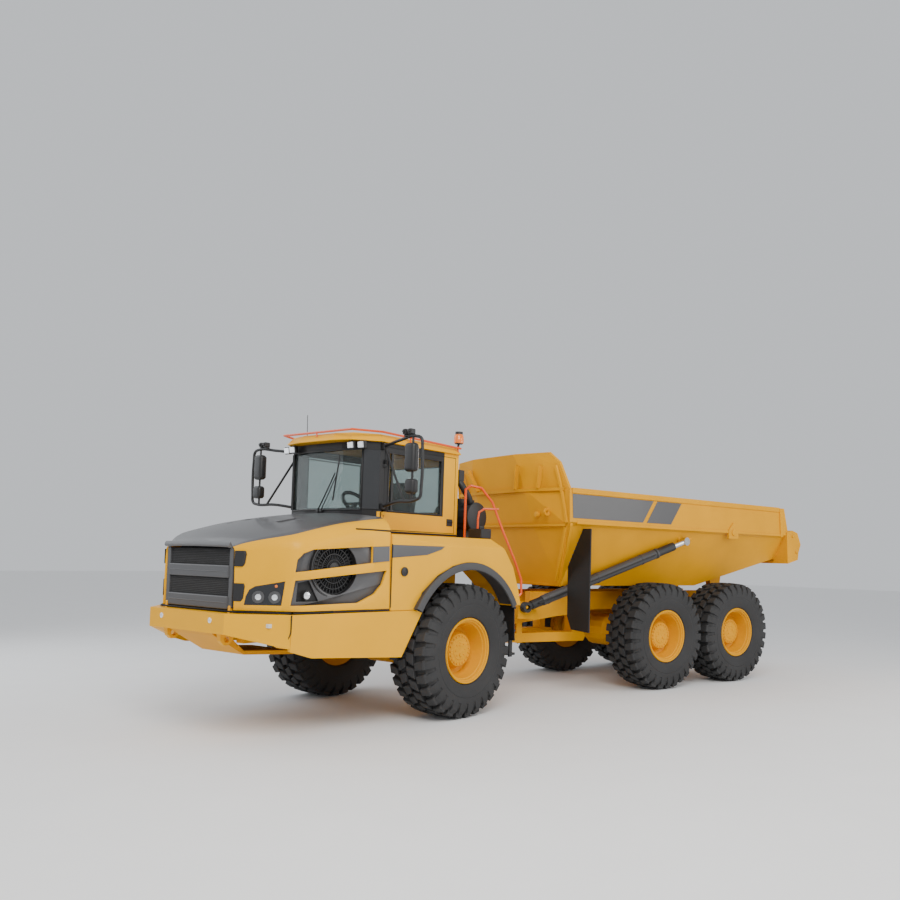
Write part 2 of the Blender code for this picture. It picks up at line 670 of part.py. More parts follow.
def windscreen():
    edge = 0.61 - GAP
    half = CAB_HALF
    corner = (half - 0.11, CAB_FRONT_Y + 0.05)
    middle = (half * 0.42, CAB_FRONT_Y)
    share = (edge - middle[0]) / (corner[0] - middle[0])
    edge_y = middle[1] + (corner[1] - middle[1]) * share
    outer = [(edge, edge_y + 0.02), (middle[0], middle[1] + 0.02)]
    inner = [(x, y + GLASS) for x, y in reversed(outer)]
    plan = outer + [(-x, y) for x, y in reversed(outer)]
    plan += [(-x, y) for x, y in reversed(inner)] + inner
    return prism(plan, "Z", SILL_Z + GAP, HEAD_Z - GAP)


def cab_roof():
    """The roof panel, with a visor over the windscreen."""
    grow = 0.05
    plan = half_outline([
        (CAB_HALF + grow, CAB_REAR_Y + 0.02), (CAB_HALF + grow, CAB_CORNER_Y - 0.02),
        (CAB_HALF - 0.16, CAB_FRONT_Y - 0.10), (CAB_HALF * 0.42, CAB_FRONT_Y - 0.16),
    ])
    solid = prism(plan, "Z", CAB_TOP_Z, CAB_TOP_Z + ROOF_THICK)
    for vert in solid.verts:
        if vert.co.z > CAB_TOP_Z + 0.05:
            vert.co.x *= 0.90
            vert.co.y = vert.co.y * 0.93 - 0.01
    return solid


def roof_rail():
    """The orange rail round the front and sides of the roof, on five posts."""
    z = CAB_TOP_Z + ROOF_THICK + 0.015
    side = CAB_HALF + 0.03
    points = [
        (side, CAB_REAR_Y, z - 0.03), (side, CAB_CORNER_Y, z), (CAB_HALF - 0.14, CAB_FRONT_Y - 0.12, z),
        (-CAB_HALF + 0.14, CAB_FRONT_Y - 0.12, z), (-side, CAB_CORNER_Y, z), (-side, CAB_REAR_Y, z - 0.03),
    ]
    rail = tube(points, 0.014, 6)
    posts = []
    for x, y in ((side, CAB_REAR_Y - 0.05), (side, -0.45), (0.0, CAB_FRONT_Y - 0.12), (-side, -0.45),
                 (-side, CAB_REAR_Y - 0.05)):
        posts.append(rod((x, y, roof_height(x, y) + GAP), (x, y, z - 0.01), 0.009, 6))
    return union(rail, *posts)


def roof_height(x, y):
    """Height of the roof's sloping edge below a post of the rail."""
    low_x, high_x = CAB_HALF + 0.05, (CAB_HALF + 0.05) * 0.90
    if abs(x) > high_x:
        return CAB_TOP_Z + ROOF_THICK * (low_x - abs(x) + 0.009) / (low_x - high_x)
    low_y = CAB_FRONT_Y - 0.16
    high_y = low_y * 0.93 - 0.01
    return CAB_TOP_Z + ROOF_THICK * min(1.0, (y - low_y + 0.009) / (high_y - low_y))


def dashboard():
    """Dashboard, steering column and wheel rim as one piece."""
    top = prism([(CAB_FRONT_Y + CAB_WALL + 0.06, 2.05), (CAB_FRONT_Y + CAB_WALL + 0.06, 2.44),
                 (CAB_FRONT_Y + 0.34, 2.44), (CAB_FRONT_Y + 0.40, 2.25)], "X", -0.52, 0.52)
    leg = box((-0.15, 0.15), (CAB_FRONT_Y + CAB_WALL + 0.06, CAB_FRONT_Y + 0.30), (CAB_FLOOR_Z + 0.06 + GAP, 2.2))
    column = rod((0, CAB_FRONT_Y + 0.32, 2.30), (0, CAB_FRONT_Y + 0.52, 2.52), 0.03, 8)
    axis = (0, 0.67, 0.74)
    wheel = turned((0, CAB_FRONT_Y + 0.52, 2.52), axis, [(-0.015, 0.17), (-0.015, 0.21), (0.015, 0.21), (0.015, 0.17)], 16)
    spoke = box((-0.18, 0.18), (CAB_FRONT_Y + 0.50, CAB_FRONT_Y + 0.54), (2.505, 2.535))
    return union(top, leg, column, wheel, spoke)


def seat_cushion():
    plan = [(-0.25, -0.36), (0.25, -0.36), (0.25, 0.14), (-0.25, 0.14)]
    return prism(plan, "Z", 1.84 + GAP, 1.97)


def seat_back():
    outline = [(0.04, 1.97 + GAP), (0.16, 1.97 + GAP), (0.27, 2.62), (0.24, 2.88), (0.17, 2.88), (0.15, 2.62)]
    return prism(outline, "X", -0.24, 0.24)


def mirror(sign):
    """A tube frame with a large and a small mirror head."""
    x_in, x_out, y = CAB_HALF + 0.02, 1.50, -1.00
    top, low = 3.21, 2.51
    foot = (CAB_CORNER_Y + 0.003, DOOR_FRONT_Y - 0.025)
    root = sum(foot) / 2
    frame = tube([
        (sign * x_in, root, top - 0.06), (sign * (x_out - 0.07), y, top), (sign * x_out, y, top - 0.06),
        (sign * x_out, y, low + 0.06), (sign * (x_out - 0.07), y, low), (sign * x_in, root, low - 0.055),
    ], 0.016, 8)
    brace = rod((sign * (x_in + 0.01), root, top - 0.06), (sign * 1.24, y + 0.03, low + 0.02 - 0.03), 0.012, 6)
    inner = rod((sign * 1.36, y, top - 0.01), (sign * 1.36, y, low - 0.008), 0.012, 6)
    big = box(sorted((sign * 1.26, sign * 1.44)), (y - 0.05, y + 0.04), (2.82, 3.14))
    small = box(sorted((sign * 1.28, sign * 1.44)), (y - 0.06, y + 0.04), (2.58, 2.74))
    foot_high = box(sorted((sign * (CAB_HALF + GAP), sign * (x_in + 0.03))), foot, (top - 0.10, top - 0.02))
    foot_low = box(sorted((sign * (CAB_HALF + GAP), sign * (x_in + 0.03))), foot, (low - 0.09, low - 0.02))
    return union(frame, inner, brace, big, small, foot_high, foot_low)


# ---------------------------------------------------------------- behind the cab
def handrail():
    """The orange rail beside the way up to the cab, from the deck down to the fender's tip."""
    x = FENDER_HALF - 0.05
    outer = tube([
        (0.84, 0.50, DECK_Z + GAP), (0.84, 0.50, 2.76), (0.90, 0.53, 2.81), (1.02, 0.60, 2.78), (1.14, 0.68, 2.60),
        (1.22, 0.80, 2.25), (x, 0.97, 1.88), (x, 1.13, 1.62), (x, 1.14, 1.44), (x - 0.02, 1.10, 1.40),
    ], 0.016, 8)
    inner = tube([(1.10, 0.72, 2.515), (1.06, 0.62, 2.515), (1.04, 0.54, 2.47), (1.04, 0.52, 2.38), (1.04, 0.52, DECK_Z + GAP)], 0.013, 8)
    inner_join = rod((1.20, 0.735, 2.515), (1.05, 0.60, 2.515), 0.013, 8)
    return union(outer, inner, inner_join)


def ladder():
    """Three steps between two stringers, under the deck behind the left front wheel."""
    y, thick = 1.07, 0.03
    parts = []
    for x in (0.82, 1.20):
        parts.append(box((x - 0.012, x + 0.012), (y - 0.05, y + 0.01), (0.62, WAIST_Z - 0.03 - GAP)))
    for z in (0.64, 0.94, 1.235):
        parts.append(box((0.80, 1.22), (y - 0.06, y + 0.06), (z, z + thick)))
    hanger = box((0.40 + GAP, 0.84), (0.93, 0.97), (1.225, 1.275))
    link = box((0.80, 0.84), (0.94, y), (1.23, 1.27))
    return union(parts[0], *parts[1:], hanger, link)


def air_cleaner():
    """The black filter housing behind the cab on the deck."""
    body = rod((0.20, 0.78, 2.42), (0.78, 0.78, 2.42), 0.19, 14)
    foot = box((0.28, 0.70), (0.68, 0.88), (DECK_Z + GAP, 2.30))
    stack = box((0.40, 0.62), (0.62, 0.94), (2.30, 2.66))
    return union(body, foot, stack)


def exhaust():
    """The upright pipe behind the cab that also carries the beacon."""
    pipe = rod((0.60, 0.54, DECK_Z + GAP), (0.60, 0.54, 3.10), 0.045, 12)
    bend = tube([(0.60, 0.54, 3.05), (0.60, 0.54, 3.14), (0.62, 0.56, 3.24), (0.66, 0.54, 3.38)], 0.015, 8)
    lamp = rod((0.66, 0.54, 3.36), (0.66, 0.54, 3.52), 0.05, 12)
    box_low = box((0.56, 0.72), (0.50, 0.60), (2.88, 3.02))
    return union(pipe, bend, lamp, box_low)


def engine():
    return box((-0.36, 0.36), (-2.05, -1.18), (1.02, 1.90))


def engine_mounts():
    """Feet that carry the engine block on the frame rails."""
    return [box(sorted((s * 0.30, s * (RAIL_IN + 0.08))), (y, y + 0.10), (FRONT_RAIL_Z[1] + GAP, 1.34))
            for s in (1, -1) for y in (-1.95, -1.40)]


def radiator():
    core = box((-0.52, 0.52), (NOSE_Y + 0.33, NOSE_Y + 0.45), (FRONT_RAIL_Z[1] + GAP, 1.88))
    return core


# ---------------------------------------------------------------- hitch and steering
def hitch():
    """The turning block between the lugs, with the roll tube and two steering arms."""
    block = rod((0, PIVOT_Y, HITCH_LOW_Z + RUN), (0, PIVOT_Y, HITCH_HIGH_Z - RUN), HITCH_RADIUS, 20)
    roll = rod((0, PIVOT_Y + 0.05, ROLL_Z), (0, HITCH_REAR_Y, ROLL_Z), ROLL_RADIUS, 20)
    arms = []
    for sign in (1, -1):
        x, y = STEER_REAR
        y += PIVOT_Y
        low, high = STEER_Z - STEER_EYE - 0.045, STEER_Z - STEER_EYE - CLEAR
        outline = [(sign * 0.05, y - 0.14), (sign * (x - 0.04), y - 0.05), (sign * (x + 0.05), y - 0.03),
                   (sign * (x + 0.05), y + 0.05), (sign * (x - 0.04), y + 0.06), (sign * 0.05, y + 0.10)]
        arms.append(prism(outline, "Z", low, high))
    return union(block, roll, *arms)


def cylinder(low, high, lengths, radii, axis, eye_width, sides=16, ball_radius=0.0):
    """Barrel and rod of a hydraulic cylinder between two eyes. The barrel's eye may be bored for a ball."""
    low, high = Vector(low), Vector(high)
    barrel_length, rod_length = lengths
    barrel_radius, rod_radius = radii
    axis = Vector(axis)
    direction = (high - low).normalized()
    bore = (rod_radius + BORE_PLAY) / math.cos(math.pi / sides)
    start = barrel_radius * 1.3
    barrel = turned(low, direction, [
        (start, 0.004), (start, barrel_radius), (barrel_length, barrel_radius), (barrel_length, bore),
        (start + 0.05, bore), (start + 0.05, 0.004),
    ], sides)
    cap = rod(low + direction * 0.02, low + direction * (start + 0.03), barrel_radius * 0.8, sides)
    eye = rod(low - axis * eye_width, low + axis * eye_width, barrel_radius * 1.15, sides)
    barrel = union(barrel, cap, eye)
    if ball_radius:
        socket = (ball_radius + BORE_PLAY) / math.cos(math.pi / sides)
        barrel = cut(barrel, rod(low - axis * 0.2, low + axis * 0.2, socket, sides))
    tip = rod(high - axis * eye_width, high + axis * eye_width, rod_radius * 1.5, sides)
    bar = rod(high - direction * rod_length, high, rod_radius, sides)
    return barrel, union(bar, tip)


# ---------------------------------------------------------------- rear unit
def rear_frame():
    rails = [box((REAR_RAIL_IN, REAR_RAIL_OUT), (2.30, REAR_FRAME_END_Y), REAR_RAIL_Z)]
    front = [(HITCH_REAR_Y - 0.12, 0.95), (HITCH_REAR_Y - 0.12, 1.12), (2.75, REAR_RAIL_Z[1] - 0.03), (2.95, REAR_RAIL_Z[1]),
             (3.2, REAR_RAIL_Z[1]), (3.2, REAR_RAIL_Z[0] - 0.05), (2.75, 1.06)]
    cheeks = [prism(front, "X", REAR_RAIL_IN - 0.02, REAR_RAIL_OUT + 0.06)]
    lower = [(HITCH_REAR_Y - 0.12, 0.71), (HITCH_REAR_Y - 0.12, 0.84), (3.30, 0.82), (3.34, 0.75), (3.30, 0.68)]
    beams = [prism(lower, "X", REAR_RAIL_IN - 0.02, REAR_RAIL_OUT + 0.06)]
    post = [box((REAR_RAIL_IN - 0.01, REAR_RAIL_OUT + 0.05), (3.08, 3.18), (0.76, REAR_RAIL_Z[0] + 0.05))]
    left = rails + cheeks + beams + post
    reach = REAR_RAIL_OUT + 0.06
    ends = [
        box((-reach, reach), (2.02, 2.12), (0.70, 1.14)),
        box((-REAR_RAIL_OUT, REAR_RAIL_OUT), (3.42, 3.54), (REAR_RAIL_Z[0] + 0.02, REAR_RAIL_Z[1] - 0.02)),
        box((-REAR_RAIL_OUT, REAR_RAIL_OUT), (4.95, 5.07), (REAR_RAIL_Z[0] + 0.02, REAR_RAIL_Z[1] - 0.02)),
        box((-REAR_RAIL_OUT, REAR_RAIL_OUT), (REAR_FRAME_END_Y - 0.14, REAR_FRAME_END_Y),
            (REAR_RAIL_Z[0] - 0.10, REAR_RAIL_Z[1] - 0.10)),
    ]
    housing = turned((0, 0, ROLL_Z), (0, 1, 0), [
        (HITCH_REAR_Y - 0.14, ROLL_RADIUS + 0.10), (HITCH_REAR_Y + 0.10, ROLL_RADIUS + 0.10),
        (HITCH_REAR_Y + 0.10, 0.05), (HITCH_REAR_Y + 0.02, 0.05),
        (HITCH_REAR_Y + 0.02, (ROLL_RADIUS + RUN) / math.cos(math.pi / 20)),
        (HITCH_REAR_Y - 0.14, (ROLL_RADIUS + RUN) / math.cos(math.pi / 20)),
    ], 20)
    bogie_y = WHEELBASE + BOGIE_SPACING / 2
    top = TYRE_RADIUS + 0.165
    beam_outline = [
        (WHEELBASE - 0.20, top), (WHEELBASE - 0.20, top + 0.06), (bogie_y - 0.35, top + 0.17),
        (bogie_y + 0.35, top + 0.17), (WHEELBASE + BOGIE_SPACING + 0.20, top + 0.06),
        (WHEELBASE + BOGIE_SPACING + 0.20, top),
    ]
    bogie = [prism(beam_outline, "X", 0.54, 0.68),
             box((REAR_RAIL_OUT - 0.02, 0.56), (bogie_y - 0.12, bogie_y + 0.12), (top + 0.03, REAR_RAIL_Z[0] + 0.10))]
    lug_x = (REAR_RAIL_IN + 0.02, REAR_RAIL_OUT - 0.001)
    tip_lug = [prism([(TIP_Y - 0.12, REAR_RAIL_Z[1] - 0.08), (TIP_Y - 0.05, TIP_Z + 0.05), (TIP_Y + 0.03, TIP_Z + 0.06),
                      (TIP_Y + 0.07, TIP_Z), (TIP_Y + 0.05, TIP_Z - 0.12), (TIP_Y - 0.12, TIP_Z - 0.12)], "X", *lug_x)]
    lx, ly, lz = HOIST_LOW
    arm = [prism([(ly - 0.10, lz - 0.16), (ly + 0.30, lz - 0.18), (ly + 0.20, lz + 0.02), (ly + 0.07, lz + 0.07),
                  (ly - 0.06, lz + 0.07)], "X", REAR_RAIL_OUT + 0.02, lx - HOIST_EYE - 0.02)]
    pin = [rod((lx - HOIST_EYE - 0.04, ly, lz), (lx, ly, lz), HOIST_BALL * 0.6, 12), ball(HOIST_LOW, HOIST_BALL)]
    left += bogie + tip_lug + arm + pin
    right = [mirrored(solid) for solid in left]
    return union(housing, *ends, *left, *right)


def ball(centre, radius):
    """A ball with 12 sides round the X axis."""
    solid = bmesh.new()
    bmesh.ops.create_uvsphere(solid, u_segments=12, v_segments=8, radius=radius)
    bmesh.ops.rotate(solid, matrix=Matrix.Rotation(math.pi / 2, 3, "Y"), verts=solid.verts)
    bmesh.ops.translate(solid, vec=centre, verts=solid.verts)
    return solid


def hoist_axis(sign):
    """The hoist barrel's hinge axis, square to its directions at rest and fully raised."""
    low, high = Vector(HOIST_LOW), Vector(HOIST_HIGH)
    hinge = Vector((high.x, TIP_Y, TIP_Z))
    raised = hinge + Matrix.Rotation(-TIP_ANGLE, 3, "X") @ (high - hinge)
    axis = (high - low).cross(raised - low).normalized()
    if axis.x < 0:
        axis = -axis
    if sign < 0:
        axis = Vector((axis.x, -axis.y, -axis.z))
    return axis


def bed_side_half(z):
    """Half width of the dump body's sloping side at a height."""
    share = (z - BED_FLOOR_Z) / (BED_BEND_Z - BED_FLOOR_Z)
    return BED_FLOOR_HALF + (BED_BEND_HALF - BED_FLOOR_HALF) * share


def bed_row(y, floor_z, top_y=None):
    """One cross-section of the dump body, left to right through the floor."""
    top_y = y if top_y is None else top_y
    half = [
        (BED_HALF, top_y, BED_TOP_Z), (BED_HALF, y + (top_y - y) * 0.15, BED_BEND_Z + 0.05),
        (BED_BEND_HALF, y, BED_BEND_Z), (bed_side_half(floor_z), y, floor_z),
    ]
    return half + [(-x, yy, z) for x, yy, z in reversed(half)]


def dump_body():
    """The open body: floor, sloping sides, rails, bent headboard, tail lip and hinge lugs."""
    rows = [
        bed_row(BED_FRONT_Y - 0.30, BED_FLOOR_Z), bed_row(BED_KICK_Y, BED_FLOOR_Z),
        bed_row(BED_TAIL_Y, BED_TAIL_FLOOR_Z, BED_TAIL_Y - 0.16),
    ]
    trough = shell(rows, BED_WALL)
    front_cut = prism([(1.5, 1.3), (BED_FRONT_Y, 1.3), (BED_FRONT_Y, BED_FLOOR_Z), (2.22, BED_BEND_Z), (2.18, 3.2),
                       (1.5, 3.2)], "X", -2, 2)
    trough = cut(trough, front_cut)
    levels = [
        (BED_FLOOR_Z - 0.01, BED_FLOOR_HALF + 0.03, BED_FRONT_Y + 0.02, BED_FRONT_Y + 0.02),
        (BED_BEND_Z, BED_BEND_HALF + 0.055, 2.18, 2.24),
        (BED_TOP_Z, BED_HALF - 0.015, 2.00, 2.20),
        (HEADBOARD_TOP_Z - 0.14, BED_HALF - 0.11, 1.90, 2.10),
        (HEADBOARD_TOP_Z, 1.10, 1.86, 2.02),
    ]
    board_rows = []
    for z, half, y_mid, y_side in levels:
        board_rows.append([(half, y_side, z), (half * 0.45, y_mid, z), (-half * 0.45, y_mid, z), (-half, y_side, z)])
    board = shell(board_rows, BED_WALL + 0.02)
    pieces = [board]
    lip = [(BED_TAIL_Y - 0.02, BED_TAIL_FLOOR_Z - 0.10), (BED_TAIL_Y + 0.24, BED_TAIL_FLOOR_Z - 0.02),
           (BED_TAIL_Y + 0.24, BED_TAIL_FLOOR_Z + 0.10), (BED_TAIL_Y - 0.02, BED_TAIL_FLOOR_Z + 0.06)]
    width = bed_side_half(BED_TAIL_FLOOR_Z)
    pieces.append(prism(lip, "X", -width - 0.02, width + 0.02))
    for sign in (1, -1):
        ear = [(BED_TAIL_Y - 0.06, 1.92), (BED_TAIL_Y + 0.24, 1.99), (BED_TIP_Y - 0.06, 2.12), (BED_TIP_Y, 2.26),
               (BED_TIP_Y - 0.10, 2.46), (BED_TAIL_Y + 0.06, 2.50), (BED_TAIL_Y - 0.10, 2.46)]
        xs = sorted((sign * (width - 0.01), sign * (BED_HALF + 0.02)))
        pieces.append(prism(ear, "X", *xs))
        lug = [(TIP_Y - 0.20, BED_FLOOR_Z + 0.22), (TIP_Y - 0.07, TIP_Z - 0.05), (TIP_Y + 0.05, TIP_Z - 0.06),
               (TIP_Y + 0.09, TIP_Z), (TIP_Y + 0.16, BED_FLOOR_Z + 0.36)]
        xs = sorted((sign * (REAR_RAIL_OUT + RUN), sign * (REAR_RAIL_OUT + 0.10)))
        pieces.append(prism(lug, "X", *xs))
        x, y, z = HOIST_HIGH
        bracket = [(y - 0.10, BED_BEND_Z - 0.06), (y - 0.05, z - 0.05), (y + 0.05, z - 0.05), (y + 0.30, BED_BEND_Z - 0.06)]
        xs = sorted((sign * (x - HOIST_EYE - 0.055), sign * (x - HOIST_EYE - 0.025)))
        pieces.append(prism(bracket, "X", *xs))
    return union(trough, *pieces)


def mudflap():
    """The rubber flap ahead of the rear wheels, hung from the body's front corner."""
    top, knee = 2.33, 1.80
    outline = [(1.42, top), (bed_side_half(top) + 2 * GAP, top), (bed_side_half(knee) + 2 * GAP, knee),
               (0.965, 1.10), (1.05, 0.92), (1.42, 0.90)]
    return prism(outline, "Y", 2.54, 2.56)


# ---------------------------------------------------------------- assembly
def build():
    truck = empty("truck", (0, 0, 0))
    front = empty("front_unit", (0, 0, 0), truck)
    node("front_frame", front_frame(), "golden", front)
    node("belly_plate", belly_plate(), "golden", front)
    node("front_axle", axle(0.0, FRONT_RAIL_Z[0], RAIL_IN, RAIL_OUT), "golden", front, True)
    node("bumper", bumper(), "yellow", front)
    for tag, sign in (("left", 1), ("right", -1)):
        flip = mirrored if sign < 0 else (lambda solid: solid)
        node("side_panel_" + tag, flip(side_panel()), "yellow", front)
        node("fender_" + tag, flip(fender()), "yellow", front)
        node("mirror_" + tag, mirror(sign), "black", front, True)
    node("engine", union(engine(), *engine_mounts()), "graphite", front)
    node("radiator", radiator(), "graphite", front)
    node("rear_deck", rear_deck(), "yellow", front)
    node("cab_shell", cab_shell(), "yellow", front)
    node("cab_roof", cab_roof(), "yellow", front)
    node("roof_rail", roof_rail(), "orange", front, True)
    node("windscreen", windscreen(), "glass", front)
    side = (-CAB_HALF + 0.02, -CAB_HALF + 0.02 + GLASS)
    node("right_glass", pane(side, (DOOR_FRONT_Y + 0.06, DOOR_GLASS_REAR_Y), (SILL_Z, HEAD_Z)), "glass", front)
    back = (CAB_REAR_Y - 0.03, CAB_REAR_Y - 0.03 + GLASS)
    node("rear_glass", pane((-0.48, 0.48), back, (SILL_Z + 0.05, HEAD_Z - 0.05)), "glass", front)
    node("dashboard", dashboard(), "black", front)
    node("seat_cushion", seat_cushion(), "fabric", front)
    node("seat_back", seat_back(), "fabric", front)
    node("handrail", handrail(), "orange", front, True)
    node("ladder", ladder(), "black", front)
    node("air_cleaner", air_cleaner(), "black", front, True)
    node("exhaust", exhaust(), "black", front, True)

    hinge = empty("hood_hinge", (0, *HOOD_AXIS), front)
    node("hood", hood(), "yellow", hinge)
    node("side_grille_left", side_grille(), "graphite", hinge)
    node("side_grille_right", mirrored(side_grille()), "graphite", hinge)
    node("grille", grille(), "graphite", empty("grille_hinge", (0, *grille_axis()), front))
    door_hinge = empty("door_hinge", (*door_axis(), DOOR_LOW_Z), front)
    node("cab_door", door(), "yellow", door_hinge)
    glass_x = (CAB_HALF - 0.03, CAB_HALF - 0.03 + GLASS)
    node("door_glass", pane(glass_x, (DOOR_FRONT_Y + 0.06, DOOR_GLASS_REAR_Y), (SILL_Z, HEAD_Z - 0.02)), "glass", door_hinge)

    swing = empty("hitch_pivot", (0, PIVOT_Y, 0), front, REST_STEER)
    node("hitch", hitch(), "golden", swing, True)
    rear = empty("rear_unit", (0, PIVOT_Y, ROLL_Z), swing)
    node("rear_frame", rear_frame(), "golden", rear)
    top = TYRE_RADIUS + 0.165
    node("mid_axle", axle(WHEELBASE, top, 0.54, 0.68), "golden", rear, True)
    node("rear_axle", axle(WHEELBASE + BOGIE_SPACING, top, 0.54, 0.68), "golden", rear, True)
    bed = empty("tip_hinge", (0, TIP_Y, TIP_Z), rear)
    node("dump_body", dump_body(), "yellow", bed)
    node("mudflap_left", mudflap(), "rubber", bed)
    node("mudflap_right", mirrored(mudflap()), "rubber", bed)

    tyre, rim = wheel_meshes()
    rims = [("front", 0.0, front), ("mid", WHEELBASE, rear), ("rear", WHEELBASE + BOGIE_SPACING, rear)]
    for row, y, unit in rims:
        for tag, sign in (("left", 1), ("right", -1)):
            place = (sign * TRACK / 2, y, TYRE_RADIUS)
            hub = empty(f"{row}_{tag}_hub", place, unit)
            for kind, solid, colour in (("tyre", tyre, "rubber"), ("rim", rim, "golden")):
                copy = solid.copy() if sign > 0 else mirrored(solid)
                bmesh.ops.translate(copy, vec=place, verts=copy.verts)
                node(f"{kind}_{row}_{tag}", copy, colour, hub, True)
    tyre.free()
    rim.free()

    for tag, sign in (("left", 1), ("right", -1)):
        hoist(tag, sign, rear)
        steering(tag, sign, front)
    centre(truck)


def hoist(tag, sign, rear):
    """One hoist cylinder, between the rear frame and the dump body."""
    low = (sign * HOIST_LOW[0], *HOIST_LOW[1:])
    high = (sign * HOIST_HIGH[0], *HOIST_HIGH[1:])
    length = (Vector(high) - Vector(low)).length
    lengths = (length - HOIST_BARREL_SHORT, length - HOIST_ROD_SHORT)
    barrel, bar = cylinder(low, high, lengths, (HOIST_RADIUS, HOIST_ROD_RADIUS), (1, 0, 0), HOIST_EYE,
                           ball_radius=HOIST_BALL)
    node("hoist_barrel_" + tag, barrel, "graphite", empty("hoist_pivot_" + tag, low, rear), True)
    node("hoist_rod_" + tag, bar, "steel", empty("hoist_slide_" + tag, low, rear), True)


def steering(tag, sign, front):
    """One steering cylinder, between the front frame and the hitch's arm as it is swung at rest."""
    x, y = turned_about_pivot(sign * STEER_REAR[0], PIVOT_Y + STEER_REAR[1], REST_STEER)
    low = (sign * STEER_FRONT[0], STEER_FRONT[1], STEER_Z)
    high = (x, y, STEER_Z)
    barrel, bar = cylinder(low, high, (STEER_BARREL, STEER_ROD), (STEER_RADIUS, STEER_ROD_RADIUS), (0, 0, 1),
                           STEER_EYE, 12)
    node("steer_barrel_" + tag, barrel, "graphite", empty("steer_pivot_" + tag, low, front), True)
    node("steer_rod_" + tag, bar, "steel", empty("steer_slide_" + tag, low, front), True)


def centre(truck):
    """Shift the truck so that the middle of its footprint is at the origin."""
    bpy.context.view_layer.update()
    corners = [o.matrix_world @ v.co for o in bpy.data.objects if o.type == "MESH" for v in o.data.vertices]
    for axis in (0, 1):
        values = [c[axis] for c in corners]
        truck.location[axis] = -(min(values) + max(values)) / 2
    truck.location[2] = -min(c[2] for c in corners)
    bpy.context.view_layer.update()


build()
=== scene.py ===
# %% [markdown]
# # An articulated dump truck
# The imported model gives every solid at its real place. This script dresses it: new bodywork for the
# bonnet, new tyres and rims, and fine trim everywhere, all in the truck's own two frames.
# The front unit stands straight and the rear unit is steered, so each new piece is modelled
# straight in a design frame with the front axle at Y = 0, and swung into place at the end.

# %% Load the frame
import json
import math

import bpy
from mathutils import Matrix, Vector


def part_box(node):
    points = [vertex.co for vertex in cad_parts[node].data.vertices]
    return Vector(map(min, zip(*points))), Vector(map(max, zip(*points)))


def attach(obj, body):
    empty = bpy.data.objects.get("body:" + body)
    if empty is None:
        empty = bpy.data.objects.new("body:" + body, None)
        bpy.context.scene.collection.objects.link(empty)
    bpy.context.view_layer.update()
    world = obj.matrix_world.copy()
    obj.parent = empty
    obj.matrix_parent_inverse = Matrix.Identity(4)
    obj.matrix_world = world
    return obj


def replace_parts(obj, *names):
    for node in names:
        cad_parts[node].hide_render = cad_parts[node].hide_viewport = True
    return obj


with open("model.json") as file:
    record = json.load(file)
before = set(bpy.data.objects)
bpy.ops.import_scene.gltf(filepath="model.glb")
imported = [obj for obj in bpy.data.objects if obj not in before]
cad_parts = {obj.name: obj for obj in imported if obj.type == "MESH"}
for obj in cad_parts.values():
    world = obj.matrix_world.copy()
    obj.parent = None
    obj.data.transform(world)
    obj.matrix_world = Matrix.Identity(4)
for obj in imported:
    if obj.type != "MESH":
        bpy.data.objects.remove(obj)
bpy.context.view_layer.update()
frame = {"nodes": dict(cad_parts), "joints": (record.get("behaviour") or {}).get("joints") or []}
joints = {joint["name"]: joint for joint in frame["joints"]}

# %% [markdown]
# The steering joint's place and the tipping joint's axis say where the two design frames lie.
# A builder on a shop floor would snap a chalk line the same way: one line for each unit.

# %% Two design frames
PIVOT_Y = 1.21
steer_at = Vector(joints["steer"]["pos_m"])
tip_axis = Vector(joints["tip"]["axis"])
swing = math.atan2(-tip_axis.y, -tip_axis.x)
FRONT = Matrix.Translation((steer_at.x, steer_at.y - PIVOT_Y, 0))
REAR = (
    Matrix.Translation((steer_at.x, steer_at.y, 0))
    @ Matrix.Rotation(swing, 4, "Z")
    @ Matrix.Translation((0, -PIVOT_Y, 0))
)
UNITS = {"front": FRONT, "rear": REAR}


def design_centre(node, unit="front"):
    """The middle of a CAD node's box, in its unit's design frame."""
    low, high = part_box(node)
    return UNITS[unit].inverted() @ ((Vector(low) + Vector(high)) / 2)


print("swing", round(math.degrees(swing), 2), "front", FRONT.translation)

# %% [markdown]
# Paint on a machine is never one flat colour. A slow noise shifts the tone a little, a fine noise
# breaks up the gloss, and a very small bump gives the orange peel of sprayed enamel. Rubber and
# moulded plastic use the same recipe with a coarser grain and no coat.

# %% Finishes
def feed(tree, node, **inputs):
    """Give a node's inputs a value or another node's socket. To_Min stands for the input "To Min"."""
    for name, value in inputs.items():
        socket = node.inputs[name.replace("_", " ")]
        if isinstance(value, bpy.types.NodeSocket):
            tree.links.new(value, socket)
        else:
            socket.default_value = value
    return node


def add(tree, kind, **inputs):
    """A new shader node with its inputs fed."""
    return feed(tree, tree.nodes.new("ShaderNode" + kind), **inputs)


